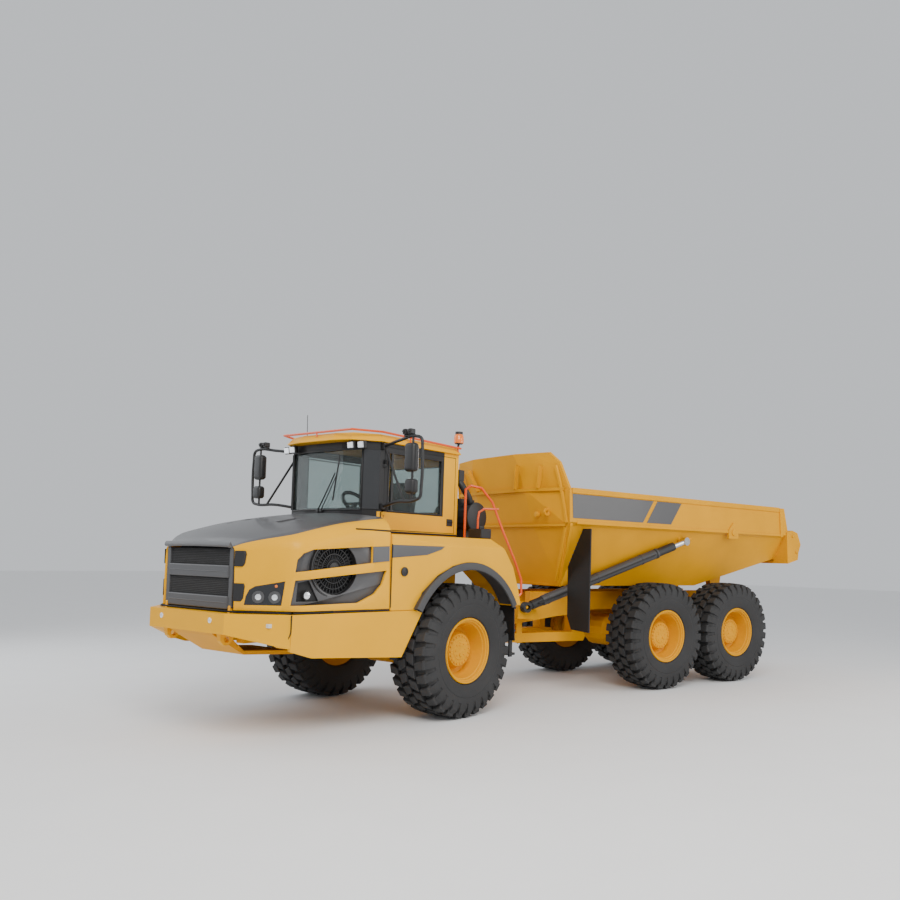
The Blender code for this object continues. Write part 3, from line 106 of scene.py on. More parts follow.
def finish(name, colour, roughness, metallic=0.0, coat=0.0, grain=60.0, bump=0.02, drift=0.08, spread=0.08,
           shine=0.5):
    """A procedural finish: colour drift, roughness spread and a fine bump, on Object coordinates."""
    made = bpy.data.materials.new(name)
    made.use_nodes = True
    tree = made.node_tree
    place = add(tree, "TexCoord").outputs["Object"]
    slow = add(tree, "TexNoise", Vector=place, Scale=1.7, Detail=4.0).outputs["Fac"]
    fine = add(tree, "TexNoise", Vector=place, Scale=grain, Detail=3.0).outputs["Fac"]
    tone = add(tree, "ValToRGB", Fac=slow)
    for element, position, gain in zip(tone.color_ramp.elements, (0.3, 0.7), (1 - drift, 1 + drift)):
        element.position = position
        element.color = (*[min(1, c * gain) for c in colour], 1)
    rough = add(tree, "MapRange", Value=fine, To_Min=max(0.02, roughness - spread),
                To_Max=min(1.0, roughness + spread))
    relief = add(tree, "Bump", Strength=0.35, Distance=bump, Height=fine)
    feed(tree, tree.nodes["Principled BSDF"], Metallic=metallic, Coat_Weight=coat, Coat_Roughness=0.12,
         Specular_IOR_Level=shine, Base_Color=tone.outputs["Color"], Roughness=rough.outputs["Result"],
         Normal=relief.outputs["Normal"])
    return made


YELLOW = finish("machine_yellow", (0.83, 0.40, 0.0), 0.42, coat=0.04, grain=220, bump=0.0004, drift=0.035,
                shine=0.18)
GOLDEN = finish("golden_yellow", (0.70, 0.315, 0.0), 0.5, grain=160, bump=0.0006, drift=0.06, shine=0.15)
GREY = finish("graphite_paint", (0.060, 0.060, 0.063), 0.42, coat=0.2, grain=220, bump=0.0004, drift=0.05)
TRIM = finish("moulded_trim", (0.05, 0.05, 0.052), 0.55, grain=420, bump=0.0012, drift=0.08)
BLACK = finish("black_plastic", (0.014, 0.014, 0.015), 0.48, grain=320, bump=0.0008, drift=0.15)
DARK = finish("shadow_black", (0.006, 0.006, 0.006), 0.75, grain=120, bump=0.001, drift=0.1)
TYRE = finish("tyre_rubber", (0.024, 0.024, 0.025), 0.78, grain=90, bump=0.004, drift=0.22, spread=0.12)
FLAP = finish("flap_rubber", (0.008, 0.008, 0.008), 0.6, grain=60, bump=0.003, drift=0.2)
ORANGE = finish("rail_orange", (0.72, 0.075, 0.0), 0.36, coat=0.3, grain=220, bump=0.0003, drift=0.05)
STEEL = finish("plated_steel", (0.62, 0.62, 0.63), 0.16, metallic=1.0, grain=300, bump=0.0002, drift=0.03,
               spread=0.05)
CAST = finish("dull_steel", (0.22, 0.21, 0.20), 0.5, metallic=0.8, grain=140, bump=0.001, drift=0.15)
LAMP = finish("lamp_glass", (0.86, 0.88, 0.92), 0.12, metallic=0.55, grain=90, bump=0.001, drift=0.03,
              spread=0.05)
AMBER = finish("amber_lens", (0.85, 0.20, 0.02), 0.2, coat=0.4, grain=120, bump=0.001, drift=0.06)
GLOSS = finish("smoked_glass", (0.018, 0.019, 0.021), 0.08, coat=0.5, grain=60, bump=0.0001, drift=0.1,
               spread=0.03)
CLOTH = finish("seat_cloth", (0.022, 0.024, 0.028), 0.92, grain=700, bump=0.003, drift=0.25)
PLATE = finish("blank_plate", (0.62, 0.62, 0.58), 0.4, grain=200, bump=0.0003, drift=0.04)

# %% [markdown]
# Cab glass is tinted a little green-grey. Real panes are thin, so the light goes almost straight
# through and only the sky's reflection gives the sheet away.

# %% Glass
GLASS = bpy.data.materials.new("cab_glass")
GLASS.use_nodes = True
tree = GLASS.node_tree
haze = add(tree, "TexNoise", Vector=add(tree, "TexCoord").outputs["Object"], Scale=3.0)
clarity = add(tree, "MapRange", Value=haze.outputs["Fac"], To_Min=0.02, To_Max=0.06)
pane = feed(tree, tree.nodes["Principled BSDF"], Base_Color=(0.55, 0.63, 0.62, 1), Roughness=0.03, IOR=1.2,
            Transmission_Weight=0.96)
feed(tree, pane, Roughness=clarity.outputs["Result"])

# %% [markdown]
# Around the cab windows the same pressed shell is sprayed black, with a sharp masked edge.
# Two finishes are mixed by height and by length along the cab, which is how masking tape works.

# %% Masked cab paint
SILL_Z, MASK_REAR_Y, MASK_FRONT_Y = 2.395, 0.19, -0.915


def maths(tree, operation, *values):
    """The result of a Math node on numbers or sockets."""
    node = tree.nodes.new("ShaderNodeMath")
    node.operation = operation
    for socket, value in zip(node.inputs, values):
        if isinstance(value, bpy.types.NodeSocket):
            tree.links.new(value, socket)
        else:
            socket.default_value = value
    return node.outputs["Value"]


def masked(name, rear_y):
    """Yellow below the sill and behind rear_y, black round the glass."""
    made = YELLOW.copy()
    made.name = name
    tree = made.node_tree
    shader = tree.nodes["Principled BSDF"]
    tone = shader.inputs["Base Color"].links[0].from_socket
    place = next(n for n in tree.nodes if n.type == "TEX_COORD")
    split = add(tree, "SeparateXYZ", Vector=place.outputs["Object"])
    above = maths(tree, "GREATER_THAN", split.outputs["Z"], SILL_Z)
    ahead = maths(tree, "LESS_THAN", split.outputs["Y"], rear_y + FRONT.translation.y)
    nose = maths(tree, "LESS_THAN", split.outputs["Y"], MASK_FRONT_Y + FRONT.translation.y)
    black = maths(tree, "MAXIMUM", maths(tree, "MULTIPLY", above, ahead), nose)
    mix = tree.nodes.new("ShaderNodeMix")
    mix.data_type = "RGBA"
    feed(tree, mix, Factor=black, A=tone, B=(0.02, 0.02, 0.021, 1))
    feed(tree, shader, Base_Color=mix.outputs["Result"])
    return made


CAB_PAINT = masked("cab_masked_paint", MASK_REAR_Y)

# %% [markdown]
# Hand tools first. Each helper starts from a Blender primitive and leaves one mesh whose place is in
# its points, because every finished piece sits at the origin.

# %% Select and edit
def only(piece):
    """Select one object and make it active."""
    bpy.ops.object.select_all(action="DESELECT")
    piece.select_set(True)
    bpy.context.view_layer.objects.active = piece
    return piece


def added(name):
    """Name the object that was just added and make it active."""
    piece = only(bpy.context.object)
    piece.name = name
    return piece


def edit_all(*steps):
    """Run mesh operators, each with its settings, on all of the active mesh."""
    bpy.ops.object.mode_set(mode="EDIT")
    bpy.ops.mesh.select_all(action="SELECT")
    for step, settings in steps:
        step(**settings)
    bpy.ops.object.mode_set(mode="OBJECT")


def outward():
    """Merge doubles and point all faces of the active mesh outwards."""
    edit_all((bpy.ops.mesh.remove_doubles, {"threshold": 0.0001}),
             (bpy.ops.mesh.normals_make_consistent, {"inside": False}))


def apply(piece, kind, **settings):
    """Add a modifier, set it up and apply it."""
    only(piece)
    modifier = piece.modifiers.new(kind.title(), kind)
    for name, value in settings.items():
        setattr(modifier, name, value)
    bpy.ops.object.modifier_apply(modifier=modifier.name)
    return piece


def bevel(piece, width, segments=2, angle=35):
    return apply(piece, "BEVEL", width=width, segments=segments, limit_method="ANGLE",
                 angle_limit=math.radians(angle), use_clamp_overlap=True)


def smooth(piece, angle=35):
    only(piece)
    bpy.ops.object.shade_smooth_by_angle(angle=math.radians(angle))
    return piece


# %% Shapes from primitives
def block(name, start, end, edge=0.004):
    """A box between two corners with rounded edges."""
    low, high = [[pick(pair) for pair in zip(start, end)] for pick in (min, max)]
    bpy.ops.mesh.primitive_cube_add(size=1)
    piece = added(name)
    for vert in piece.data.vertices:
        vert.co = [low[k] if vert.co[k] < 0 else high[k] for k in range(3)]
    outward()
    return bevel(piece, edge) if edge else piece


def sheet(name, rows):
    """A grid primitive with its points laid on rows of (x, y, z)."""
    across, along = len(rows[0]), len(rows)
    bpy.ops.mesh.primitive_grid_add(x_subdivisions=across - 1, y_subdivisions=along - 1, size=1)
    piece = added(name)
    for index, vert in enumerate(piece.data.vertices):
        vert.co = rows[index // across][index % across]
    return piece


def panel(name, outline, axis, low, high, edge=0.0):
    """A flat outline filled from a circle primitive and extruded along an axis."""
    order = {"X": (2, 0, 1), "Y": (0, 2, 1), "Z": (0, 1, 2)}[axis]
    bpy.ops.mesh.primitive_circle_add(vertices=len(outline), fill_type="NGON")
    piece = added(name)
    for vert, (a, b) in zip(piece.data.vertices, outline):
        vert.co = [(a, b, low)[k] for k in order]
    step = [(0, 0, high - low)[k] for k in order]
    edit_all((bpy.ops.mesh.extrude_region_move, {"TRANSFORM_OT_translate": {"value": step}}))
    outward()
    return bevel(piece, edge) if edge else piece


def turned(name, centre, profile, axis="X", steps=48, angle=40):
    """Spin a closed profile of (along, radius) round an axis through the centre."""
    bpy.ops.mesh.primitive_circle_add(vertices=len(profile), fill_type="NOTHING")
    piece = added(name)
    for vert, (along, radius) in zip(piece.data.vertices, profile):
        spot = {"X": (along, 0, radius), "Y": (0, along, radius), "Z": (radius, 0, along)}[axis]
        vert.co = Vector(centre) + Vector(spot)
    line = {"X": (1, 0, 0), "Y": (0, 1, 0), "Z": (0, 0, 1)}[axis]
    edit_all((bpy.ops.mesh.spin, {"steps": steps, "angle": 2 * math.pi, "center": centre, "axis": line}))
    outward()
    return smooth(piece, angle)


def facing_from_z(direction):
    """The turn that swings the Z axis onto a direction."""
    return Vector((0, 0, 1)).rotation_difference(Vector(direction)).to_matrix().to_4x4()


def disc(name, centre, axis, radius, depth, sides=32, edge=0.0):
    """A short cylinder whose axis points along a vector."""
    bpy.ops.mesh.primitive_cylinder_add(vertices=sides, radius=radius, depth=depth)
    piece = added(name)
    piece.data.transform(Matrix.Translation(centre) @ facing_from_z(axis))
    if edge:
        bevel(piece, edge)
    return smooth(piece)


def pipe(name, points, radius, sides=4, curve=True):
    """A bent tube through points, from a curve primitive made into a mesh."""
    bpy.ops.curve.primitive_bezier_curve_add()
    shape = added(name).data
    shape.splines.clear()
    spline = shape.splines.new("BEZIER" if curve else "POLY")
    spots = spline.bezier_points if curve else spline.points
    spots.add(len(points) - 1)
    for spot, place in zip(spots, points):
        spot.co = place if curve else (*place, 1)
        if curve:
            spot.handle_left_type = spot.handle_right_type = "AUTO"
    shape.dimensions = "3D"
    shape.bevel_depth = radius
    shape.bevel_resolution = sides
    shape.resolution_u = 8
    shape.use_fill_caps = True
    bpy.ops.object.convert(target="MESH")
    piece = only(bpy.context.object)
    outward()
    return smooth(piece, 60)


def copy_of(piece, name, matrix=None):
    """A copy with its own mesh, moved by a matrix."""
    twin = piece.copy()
    twin.data = piece.data.copy()
    twin.name = name
    bpy.context.scene.collection.objects.link(twin)
    if matrix is not None:
        twin.data.transform(matrix)
        if matrix.determinant() < 0:
            only(twin)
            outward()
    return twin


def joined(name, pieces):
    """Join pieces into the first of them."""
    bpy.ops.object.select_all(action="DESELECT")
    for piece in pieces:
        piece.select_set(True)
    bpy.context.view_layer.objects.active = pieces[0]
    bpy.ops.object.join()
    pieces[0].name = name
    return pieces[0]


def carve(piece, cutter):
    """Cut one piece with another and drop the cutter."""
    apply(piece, "BOOLEAN", operation="DIFFERENCE", solver="EXACT", object=cutter)
    bpy.data.objects.remove(cutter, do_unlink=True)
    return piece


# %% [markdown]
# A finished piece gets its finish, its place in the world and the body it moves with.

# %% Fit a piece to the truck
MIRROR = Matrix.Scale(-1, 4, (1, 0, 0))


def fit(piece, material, body="root", unit="front"):
    """Paint a piece, move it from its design frame into the world and let it ride."""
    piece.data.materials.clear()
    piece.data.materials.append(material)
    piece.data.transform(UNITS[unit])
    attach(piece, body)
    return piece


def both_sides(piece, material, body="root", unit="front"):
    """Fit a left piece and its mirror image."""
    twin = copy_of(piece, piece.name + "_right", MIRROR)
    piece.name += "_left"
    right_body = body.replace("left", "right")
    return fit(piece, material, body, unit), fit(twin, material, right_body, unit)


def repaint(node, material):
    """Give a CAD node a finish of its own on every face."""
    target = frame["nodes"][node]
    target.data.materials.clear()
    target.data.materials.append(material)
    for polygon in target.data.polygons:
        polygon.material_index = 0


def soften(node, width):
    """Round a CAD node's hard edges with a Weld and a Bevel that stay live."""
    target = frame["nodes"][node]
    weld = target.modifiers.new("Weld", "WELD")
    weld.merge_threshold = 0.00005
    rounding = target.modifiers.new("Round", "BEVEL")
    rounding.width = width
    rounding.segments = 2
    rounding.limit_method = "ANGLE"
    rounding.angle_limit = math.radians(38)
    rounding.harden_normals = True


# %% [markdown]
# Most of the CAD solids already have the right shape. They keep it, and get paint and rounded edges.

# %% Paint the kept solids
PAINTS = {
    YELLOW: ["bumper", "side_panel_left", "side_panel_right", "fender_left", "fender_right", "rear_deck",
             "cab_roof"],
    GOLDEN: ["front_frame", "belly_plate", "front_axle", "mid_axle", "rear_axle", "rear_frame", "hitch",
             "dump_body"],
    CAB_PAINT: ["cab_shell", "cab_door"],
    GREY: ["engine", "radiator"],
    BLACK: ["dashboard", "ladder", "air_cleaner", "exhaust",
            "hoist_barrel_left", "hoist_barrel_right", "steer_barrel_left", "steer_barrel_right"],
    FLAP: ["mudflap_left", "mudflap_right"],
    ORANGE: ["handrail", "roof_rail"],
    GLASS: ["windscreen", "right_glass", "rear_glass", "door_glass"],
    STEEL: ["hoist_rod_left", "hoist_rod_right", "steer_rod_left", "steer_rod_right"],
}
for paint, nodes in PAINTS.items():
    for node in nodes:
        repaint(node, paint)
ROUNDED = {
    0.03: ["fender_left", "fender_right"],
    0.02: ["bumper", "cab_roof"],
    0.012: ["cab_shell", "dashboard", "air_cleaner"],
    0.010: ["dump_body"],
    0.008: ["rear_frame"],
    0.006: ["side_panel_left", "side_panel_right", "cab_door", "rear_deck", "front_frame"],
}
for width, nodes in ROUNDED.items():
    for node in nodes:
        soften(node, width)
print("kept", sum(len(v) for v in PAINTS.values()), "solids")

# %% [markdown]
# ## Tyres
# An earthmover tyre is a turned carcass with heavy rubber lugs. The carcass is a spun profile with
# moulded rings on the wall. One pitch of tread, two shoulder lugs and two staggered centre blocks,
# is modelled and then copied round the wheel.

# %% Tyre carcass
RADIUS, HALF, BEAD = 0.79, 0.30, 0.385
GROOVE = RADIUS - 0.052
PITCHES = 30


def carcass():
    """The spun body of the tyre, with moulded rings on its wall."""
    side = [
        (HALF - 0.065, BEAD), (HALF - 0.035, BEAD + 0.02), (HALF - 0.018, BEAD + 0.06),
        (HALF - 0.004, BEAD + 0.12), (HALF - 0.001, BEAD + 0.155), (HALF - 0.006, BEAD + 0.165),
        (HALF - 0.002, BEAD + 0.185), (HALF - 0.004, BEAD + 0.225), (HALF - 0.014, BEAD + 0.235),
        (HALF - 0.012, BEAD + 0.255), (HALF - 0.024, BEAD + 0.30), (HALF - 0.055, GROOVE - 0.012),
        (HALF - 0.11, GROOVE),
    ]
    inner = [(-x, r) for x, r in reversed(side)]
    return turned("carcass", (0, 0, 0), side + inner, steps=72)


CORNERS = {(False, False): 0, (True, False): 1, (True, True): 2, (False, True): 3}


def hull(name, corners):
    """A block from eight corners: four at its foot and four at its face, each in the same order."""
    bpy.ops.mesh.primitive_cube_add(size=1)
    piece = added(name)
    for vert in piece.data.vertices:
        level = 0 if vert.co.z < 0 else 4
        vert.co = corners[level + CORNERS[vert.co.x > 0, vert.co.y > 0]]
    outward()
    return bevel(piece, 0.007, 1)


def lug(x_in, x_out, skew, half_turn, foot, face, drop=0.0, shift=0.0):
    """One tread block across the tyre from x_in to x_out. skew slants it, drop lowers its outer end."""
    corners = []
    for level, grow in ((foot, 1.12), (face, 1.0)):
        for x, s in ((x_in, -1), (x_out, -1), (x_out, 1), (x_in, 1)):
            outer = x == x_out
            reach = level - (drop if outer else 0.0)
            along = skew * (1 if outer else -1) + shift + s * half_turn * grow * (1.12 if outer else 0.92)
            corners.append((x, reach * math.sin(along / RADIUS), reach * math.cos(along / RADIUS)))
    return hull("lug", corners)


def tread():
    """One pitch of tread copied round the wheel."""
    pitch = 2 * math.pi * RADIUS / PITCHES
    parts = []
    for sign in (1, -1):
        shift = 0.0 if sign > 0 else pitch / 2
        shoulder = (sign * 0.135, sign * 0.262, 0.012, pitch * 0.29, GROOVE - 0.02, RADIUS - 0.001, 0.010, shift)
        side_lug = (sign * 0.245, sign * 0.297, 0.004, pitch * 0.30, GROOVE - 0.075, RADIUS - 0.018, 0.072, shift)
        middle = (sign * 0.008, sign * 0.118, -0.020, pitch * 0.33, GROOVE - 0.02, RADIUS, 0.0, shift + pitch / 2)
        parts += [lug(*shoulder), lug(*side_lug), lug(*middle)]
    one = joined("pitch", parts)
    turns = [Matrix.Rotation(2 * math.pi * i / PITCHES, 4, "X") for i in range(1, PITCHES)]
    return joined("tread", [one] + [copy_of(one, "pitch", turn) for turn in turns])


tyre = smooth(joined("tyre", [carcass(), tread()]), 30)
print("tyre", len(tyre.data.polygons), "faces")

# %% [markdown]
# ## Rims
# The rim is a deep dish: a rolled outer flange with a lock ring, a well, and a raised hub drum with a
# ring of wheel bolts. The profile is spun, and the bolts are one small cylinder copied round.

# %% Rim and hub
def rim_profile():
    """The closed section of the rim and its hub drum, from the outer flange inwards."""
    lip = BEAD - 0.0008
    return [
        (0.232, lip), (0.252, lip + 0.004), (0.262, lip - 0.004), (0.258, lip - 0.020), (0.240, lip - 0.024),
        (0.236, lip - 0.040), (0.205, lip - 0.046), (0.200, lip - 0.058), (0.110, lip - 0.072),
        (0.060, lip - 0.082), (0.020, lip - 0.100), (0.000, 0.245), (0.010, 0.225), (0.095, 0.205),
        (0.120, 0.190), (0.124, 0.120), (0.132, 0.110), (0.132, 0.030), (0.128, 0.004),
        (-0.20, 0.004), (-0.20, 0.19), (-0.12, 0.22), (-0.18, lip - 0.05), (-0.232, lip),
    ]


def bolts(count, x, radius, size, length):
    """A ring of bolt heads round the X axis."""
    heads = []
    for i in range(count):
        a = 2 * math.pi * i / count
        heads.append(disc("bolt", (x, radius * math.cos(a), radius * math.sin(a)), (1, 0, 0), size, length, 6))
    return heads


rim = turned("rim", (0, 0, 0), rim_profile(), steps=72, angle=30)
hub = [rim] + bolts(20, 0.128, 0.165, 0.012, 0.016) + bolts(8, 0.136, 0.085, 0.008, 0.010)
hub.append(block("cover_slot", (0.126, -0.02, 0.045), (0.140, 0.02, 0.065)))
hub.append(pipe("valve", [(0.09, 0.0, 0.275), (0.16, 0.0, 0.285), (0.21, 0.0, 0.30)], 0.006))
hub.append(disc("fill_plug", (0.135, 0, -0.055), (1, 0, 0), 0.02, 0.014, 12))
rim = joined("rim", hub)
print("rim", len(rim.data.polygons), "faces")

# %% Put six wheels on their hubs
WHEELS = [("front", "front"), ("mid", "rear"), ("rear", "rear")]
TURNS = {"front": 0.05, "mid": 0.9, "rear": 2.1}
for row, unit in WHEELS:
    for tag, sign in (("left", 1), ("right", -1)):
        centre = design_centre(f"rim_{row}_{tag}", unit)
        centre.x = sign * abs(design_centre(f"tyre_{row}_{tag}", unit).x)
        place = Matrix.Translation((centre.x, centre.y, RADIUS)) @ Matrix.Rotation(TURNS[row], 4, "X")
        if sign < 0:
            place = place @ Matrix.Rotation(math.pi, 4, "Z")
        for kind, master, material in (("tyre", tyre, TYRE), ("rim", rim, GOLDEN)):
            piece = copy_of(master, f"{kind}_{row}_{tag}_fine", place)
            fit(piece, material, f"wheel_{row}_{tag}", unit)
            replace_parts(piece, f"{kind}_{row}_{tag}")
for master in (tyre, rim):
    bpy.data.objects.remove(master, do_unlink=True)

# %% [markdown]
# ## Bonnet
# The moulded bonnet is one smooth skin. Its plan starts at the grille, runs back over a raked
# corner and widens towards the cab, and its section is a flat side, a quarter-ellipse shoulder
# and a crowned top. Stations with a width and a crown height, joined by a smooth curve, give
# every row of a grid. The skin is cut at the shoulder, so the grey top meets the yellow side
# in one clean line.

# %% Stations of the bonnet
def side_x(y):
    """Half width of the bonnet and side panels at a length along the truck."""
    return 1.13 + 0.17 * (y + 2.34) / 1.65


STATIONS = [
    (-2.66, 0.63, 2.000, 0.07, 0.06), (-2.58, 0.735, 2.045, 0.11, 0.09), (-2.47, 0.890, 2.090, 0.16, 0.13),
    (-2.36, 1.040, 2.126, 0.21, 0.165), (-2.25, 1.132, 2.158, 0.24, 0.185),
]
for y, crown in ((-2.05, 2.212), (-1.75, 2.285), (-1.45, 2.335), (-1.17, 2.372)):
    STATIONS.append((y, side_x(y), crown, 0.24, 0.185))


def bonnet_half(y):
    """Half width of the bonnet at a length along the truck, round the raked corner too."""
    for (y0, h0, *_), (y1, h1, *_) in zip(STATIONS, STATIONS[1:]):
        if y <= y1:
            return h0 + (h1 - h0) * (y - y0) / (y1 - y0)
    return side_x(y)


def smooth_rows(table, steps=4):
    """Catmull-Rom points between the rows of a table."""
    rows = [table[0]] + table + [table[-1]]
    made = []
    for a, b, c, d in zip(rows, rows[1:], rows[2:], rows[3:]):
        for i in range(steps):
            t = i / steps
            made.append([0.5 * (2 * q + (r - p) * t + (2 * p - 5 * q + 4 * r - s) * t * t
                                + (3 * q - p - 3 * r + s) * t ** 3) for p, q, r, s in zip(a, b, c, d)])
    return made + [list(table[-1])]


def half_section(y, half, crown, across, rise):
    """Points from the foot of the side, over the shoulder, to the middle of the top."""
    start = crown - 0.05 - rise
    points = [(half, y, 1.32), (half - 0.004, y, 1.50), (half - 0.010, y, 1.70), (half - 0.018, y, start)]
    for t in range(15, 91, 15):
        turn = math.radians(t)
        points.append((half - 0.018 - across * (1 - math.cos(turn)), y, start + rise * math.sin(turn)))
    edge = half - 0.018 - across
    for share in (0.75, 0.5, 0.25, 0.0):
        points.append((edge * share, y, crown - 0.05 * share * share))
    return points


def facing(piece, direction):
    """Flip the faces of an open sheet if they look away from a direction."""
    only(piece)
    total = sum((polygon.normal.copy() * polygon.area for polygon in piece.data.polygons), Vector())
    if total.dot(Vector(direction)) < 0:
        edit_all((bpy.ops.mesh.flip_normals, {}))
    return piece


SPLIT = 7  # the point of a section where the grey top begins
sections = [half_section(*row) for row in smooth_rows(STATIONS)]

# %% Grey top of the bonnet
top_rows = []
for y, z in ((-2.690, 1.930), (-2.702, 1.945), (-2.700, 1.965), (-2.685, 1.985)):
    top_rows.append([(x, y, z + (p - 1.90) * 0.12) for x, _, p in sections[0][SPLIT:]])
top_rows += [section[SPLIT:] for section in sections]
top_rows = [row + [(-x, y, z) for x, y, z in reversed(row[:-1])] for row in top_rows]
top = facing(sheet("bonnet_top", top_rows), (0, 0, 1))
apply(top, "SOLIDIFY", thickness=0.022, offset=-1)
SCOOP = [(0.30, -1.98), (0.52, -2.02), (0.60, -1.80), (0.36, -1.76)]
scoops = [panel("scoop", [(sign * x, y) for x, y in SCOOP], "Z", 2.15, 2.6) for sign in (1, -1)]
for scoop in scoops:
    for vert in scoop.data.vertices:
        crown = 2.21 + 0.25 * (vert.co.y + 2.05)
        vert.co.z = crown - 0.018 if vert.co.z < 2.3 else crown + 0.1
    carve(top, scoop)
fit(smooth(top, 40), GREY, "hood")


# %% Yellow sides with their openings
UPPER = [(-2.30, 1.705), (-2.285, 1.83), (-2.23, 1.895), (-2.12, 1.935), (-1.40, 1.985), (-1.40, 1.81)]
LOWER = [(-2.33, 1.375), (-2.30, 1.625), (-1.21, 1.73), (-1.27, 1.58), (-1.37, 1.48), (-1.58, 1.39)]
CORNER_LOW, CORNER_HIGH = Vector((0.645, -2.65, 0)), Vector((1.10, -2.30, 0))
RAKE = (CORNER_HIGH - CORNER_LOW).normalized()
OUT = Vector((RAKE.y, -RAKE.x, 0))


def on_corner(share, z, proud=0.0):
    """A point on the raked corner face."""
    spot = CORNER_LOW.lerp(CORNER_HIGH, share)
    return Vector((spot.x, spot.y, z)) + OUT * (proud + 0.012)


def corner_panel(name, outline, inward, outward_by):
    """A slab on the raked corner from (share, z) points."""
    piece = panel(name, outline, "Y", 0, 1)
    for vert in piece.data.vertices:
        vert.co = on_corner(vert.co.x, vert.co.z, outward_by if vert.co.y < 0.5 else -inward)
    only(piece)
    outward()
    return piece


def side_plate(name, outline):
    """A plate with a (y, z) outline, ready to be laid on the bonnet's side."""
    return panel(name, outline, "X", 0.9, 1.4)


def opening(outline):
    """A cutter with a (y, z) outline that goes right through a side."""
    return panel("cut", outline, "X", 0.8, 1.5)


LAMP_OUTLINE = [(0.14, 1.375), (0.165, 1.46), (0.22, 1.525), (0.32, 1.56), (0.83, 1.615), (0.78, 1.375)]
side = facing(sheet("bonnet_side", [section[:SPLIT + 1] for section in sections]), (1, 0, 0))
apply(side, "SOLIDIFY", thickness=0.028, offset=-1)
for cutter in (opening(UPPER), opening(LOWER), corner_panel("cut", LAMP_OUTLINE, 0.06, 0.05)):
    carve(side, cutter)
side = bevel(side, 0.004, 2, 50)
left_side, _ = both_sides(smooth(side, 40), YELLOW, "hood")
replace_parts(left_side, "hood")
print("bonnet skin", len(left_side.data.polygons), "faces a side")

# %% [markdown]
# Inside the side openings is a grey moulded bezel round a big black fan. The bezel is a plate
# with a round hole. The fan is a dish with rings and many thin blades, modelled once and copied.

# %% Bezel, fan and marker pocket
FAN_Y, FAN_Z, FAN_R = -1.84, 1.745, 0.27


def skin(piece, depth, thick):
    """Lay a plate that was made between two X values at a depth under the bonnet's side."""
    for vert in piece.data.vertices:
        face = bonnet_half(vert.co.y) - max(0, vert.co.z - 1.32) / 0.6 * 0.016
        vert.co.x = face - (depth if vert.co.x > 1.1 else depth + thick)
    return piece


def ring_outline(radius, count=48):
    """Points of a circle round the fan's middle."""
    turns = [2 * math.pi * i / count for i in range(count)]
    return [(FAN_Y + radius * math.cos(turn), FAN_Z + radius * math.sin(turn)) for turn in turns]


bezel = side_plate("side_bezel", [(-2.35, 1.34), (-2.34, 1.88), (-2.18, 1.95), (-1.38, 2.00), (-1.20, 1.90),
                                  (-1.19, 1.60), (-1.55, 1.34)])
POCKET = [(-2.27, 1.415), (-2.26, 1.60), (-2.14, 1.625), (-2.03, 1.415)]
for outline in (ring_outline(FAN_R), POCKET):
    carve(bezel, opening(outline))
bezel = bevel(skin(bezel, 0.034, 0.012), 0.006, 2, 50)
fan_x = side_x(FAN_Y) - 0.075
middle = (0, FAN_Y, FAN_Z)
dish = [(-0.03, 0.002), (-0.03, 0.30), (0.028, 0.30), (0.028, 0.285), (-0.02, 0.27), (-0.02, 0.002)]
fan = [turned("dish", middle, [(fan_x + x, radius) for x, radius in dish], "X", 48)]
blade = block("blade", (fan_x - 0.016, FAN_Y - 0.0035, FAN_Z + 0.06),
              (fan_x + 0.006, FAN_Y + 0.0035, FAN_Z + 0.275), 0.0015)
spin_to = Matrix.Translation(middle)
for i in range(1, 36):
    fan.append(copy_of(blade, "blade", spin_to @ Matrix.Rotation(math.pi * i / 18, 4, "X") @ spin_to.inverted()))
fan.append(blade)
for radius in (0.09, 0.15, 0.21, 0.262):
    wire = [(0.006, -0.004), (0.006, 0.004), (0.012, 0.004), (0.012, -0.004)]
    fan.append(turned("ring", middle, [(fan_x + x, radius + grow) for x, grow in wire], "X", 48))
fan.append(disc("hub", (fan_x + 0.004, FAN_Y, FAN_Z), (1, 0, 0), 0.065, 0.03, 32, 0.008))
pocket_back = side_plate("pocket_back", [(-2.34, 1.36), (-2.34, 1.68), (-2.06, 1.68), (-2.0, 1.36)])
fan.append(skin(pocket_back, 0.062, 0.01))
both_sides(joined("side_fan", fan), BLACK, "hood")
bezel_left, _ = both_sides(smooth(bezel, 40), GREY, "hood")
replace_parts(bezel_left, "side_grille_left", "side_grille_right")
spot = (side_x(-2.17) - 0.045, -2.165, 1.475)
both_sides(disc("pocket_lamp", spot, (1, -0.2, 0), 0.036, 0.03, 28, 0.006), LAMP, "hood")
bright_ring = [(-0.01, 0.037), (-0.01, 0.05), (0.012, 0.048), (0.012, 0.037)]
both_sides(turned("pocket_ring", spot, bright_ring, "X", 32), BLACK, "hood")


# %% Side badge panels, left blank
stripe = skin(side_plate("bonnet_stripe", [(-1.398, 1.812), (-1.182, 1.832), (-1.182, 1.995), (-1.398, 1.983)]),
              -0.008, 0.02)
both_sides(bevel(stripe, 0.0015, 1), GREY, "hood")
stripe = panel("fender_stripe", [(-1.148, 1.87), (-0.66, 1.91), (-0.45, 1.975), (-0.40, 2.012), (-1.148, 2.012)],
               "X", 0.9, 1.5)
for vert in stripe.data.vertices:
    face = side_x(vert.co.y) if vert.co.y < -0.30 else 1.34
    vert.co.x = face + (0.004 if vert.co.x > 1.2 else -0.03)
both_sides(bevel(stripe, 0.0015, 1), GREY)
print("bonnet sides done")


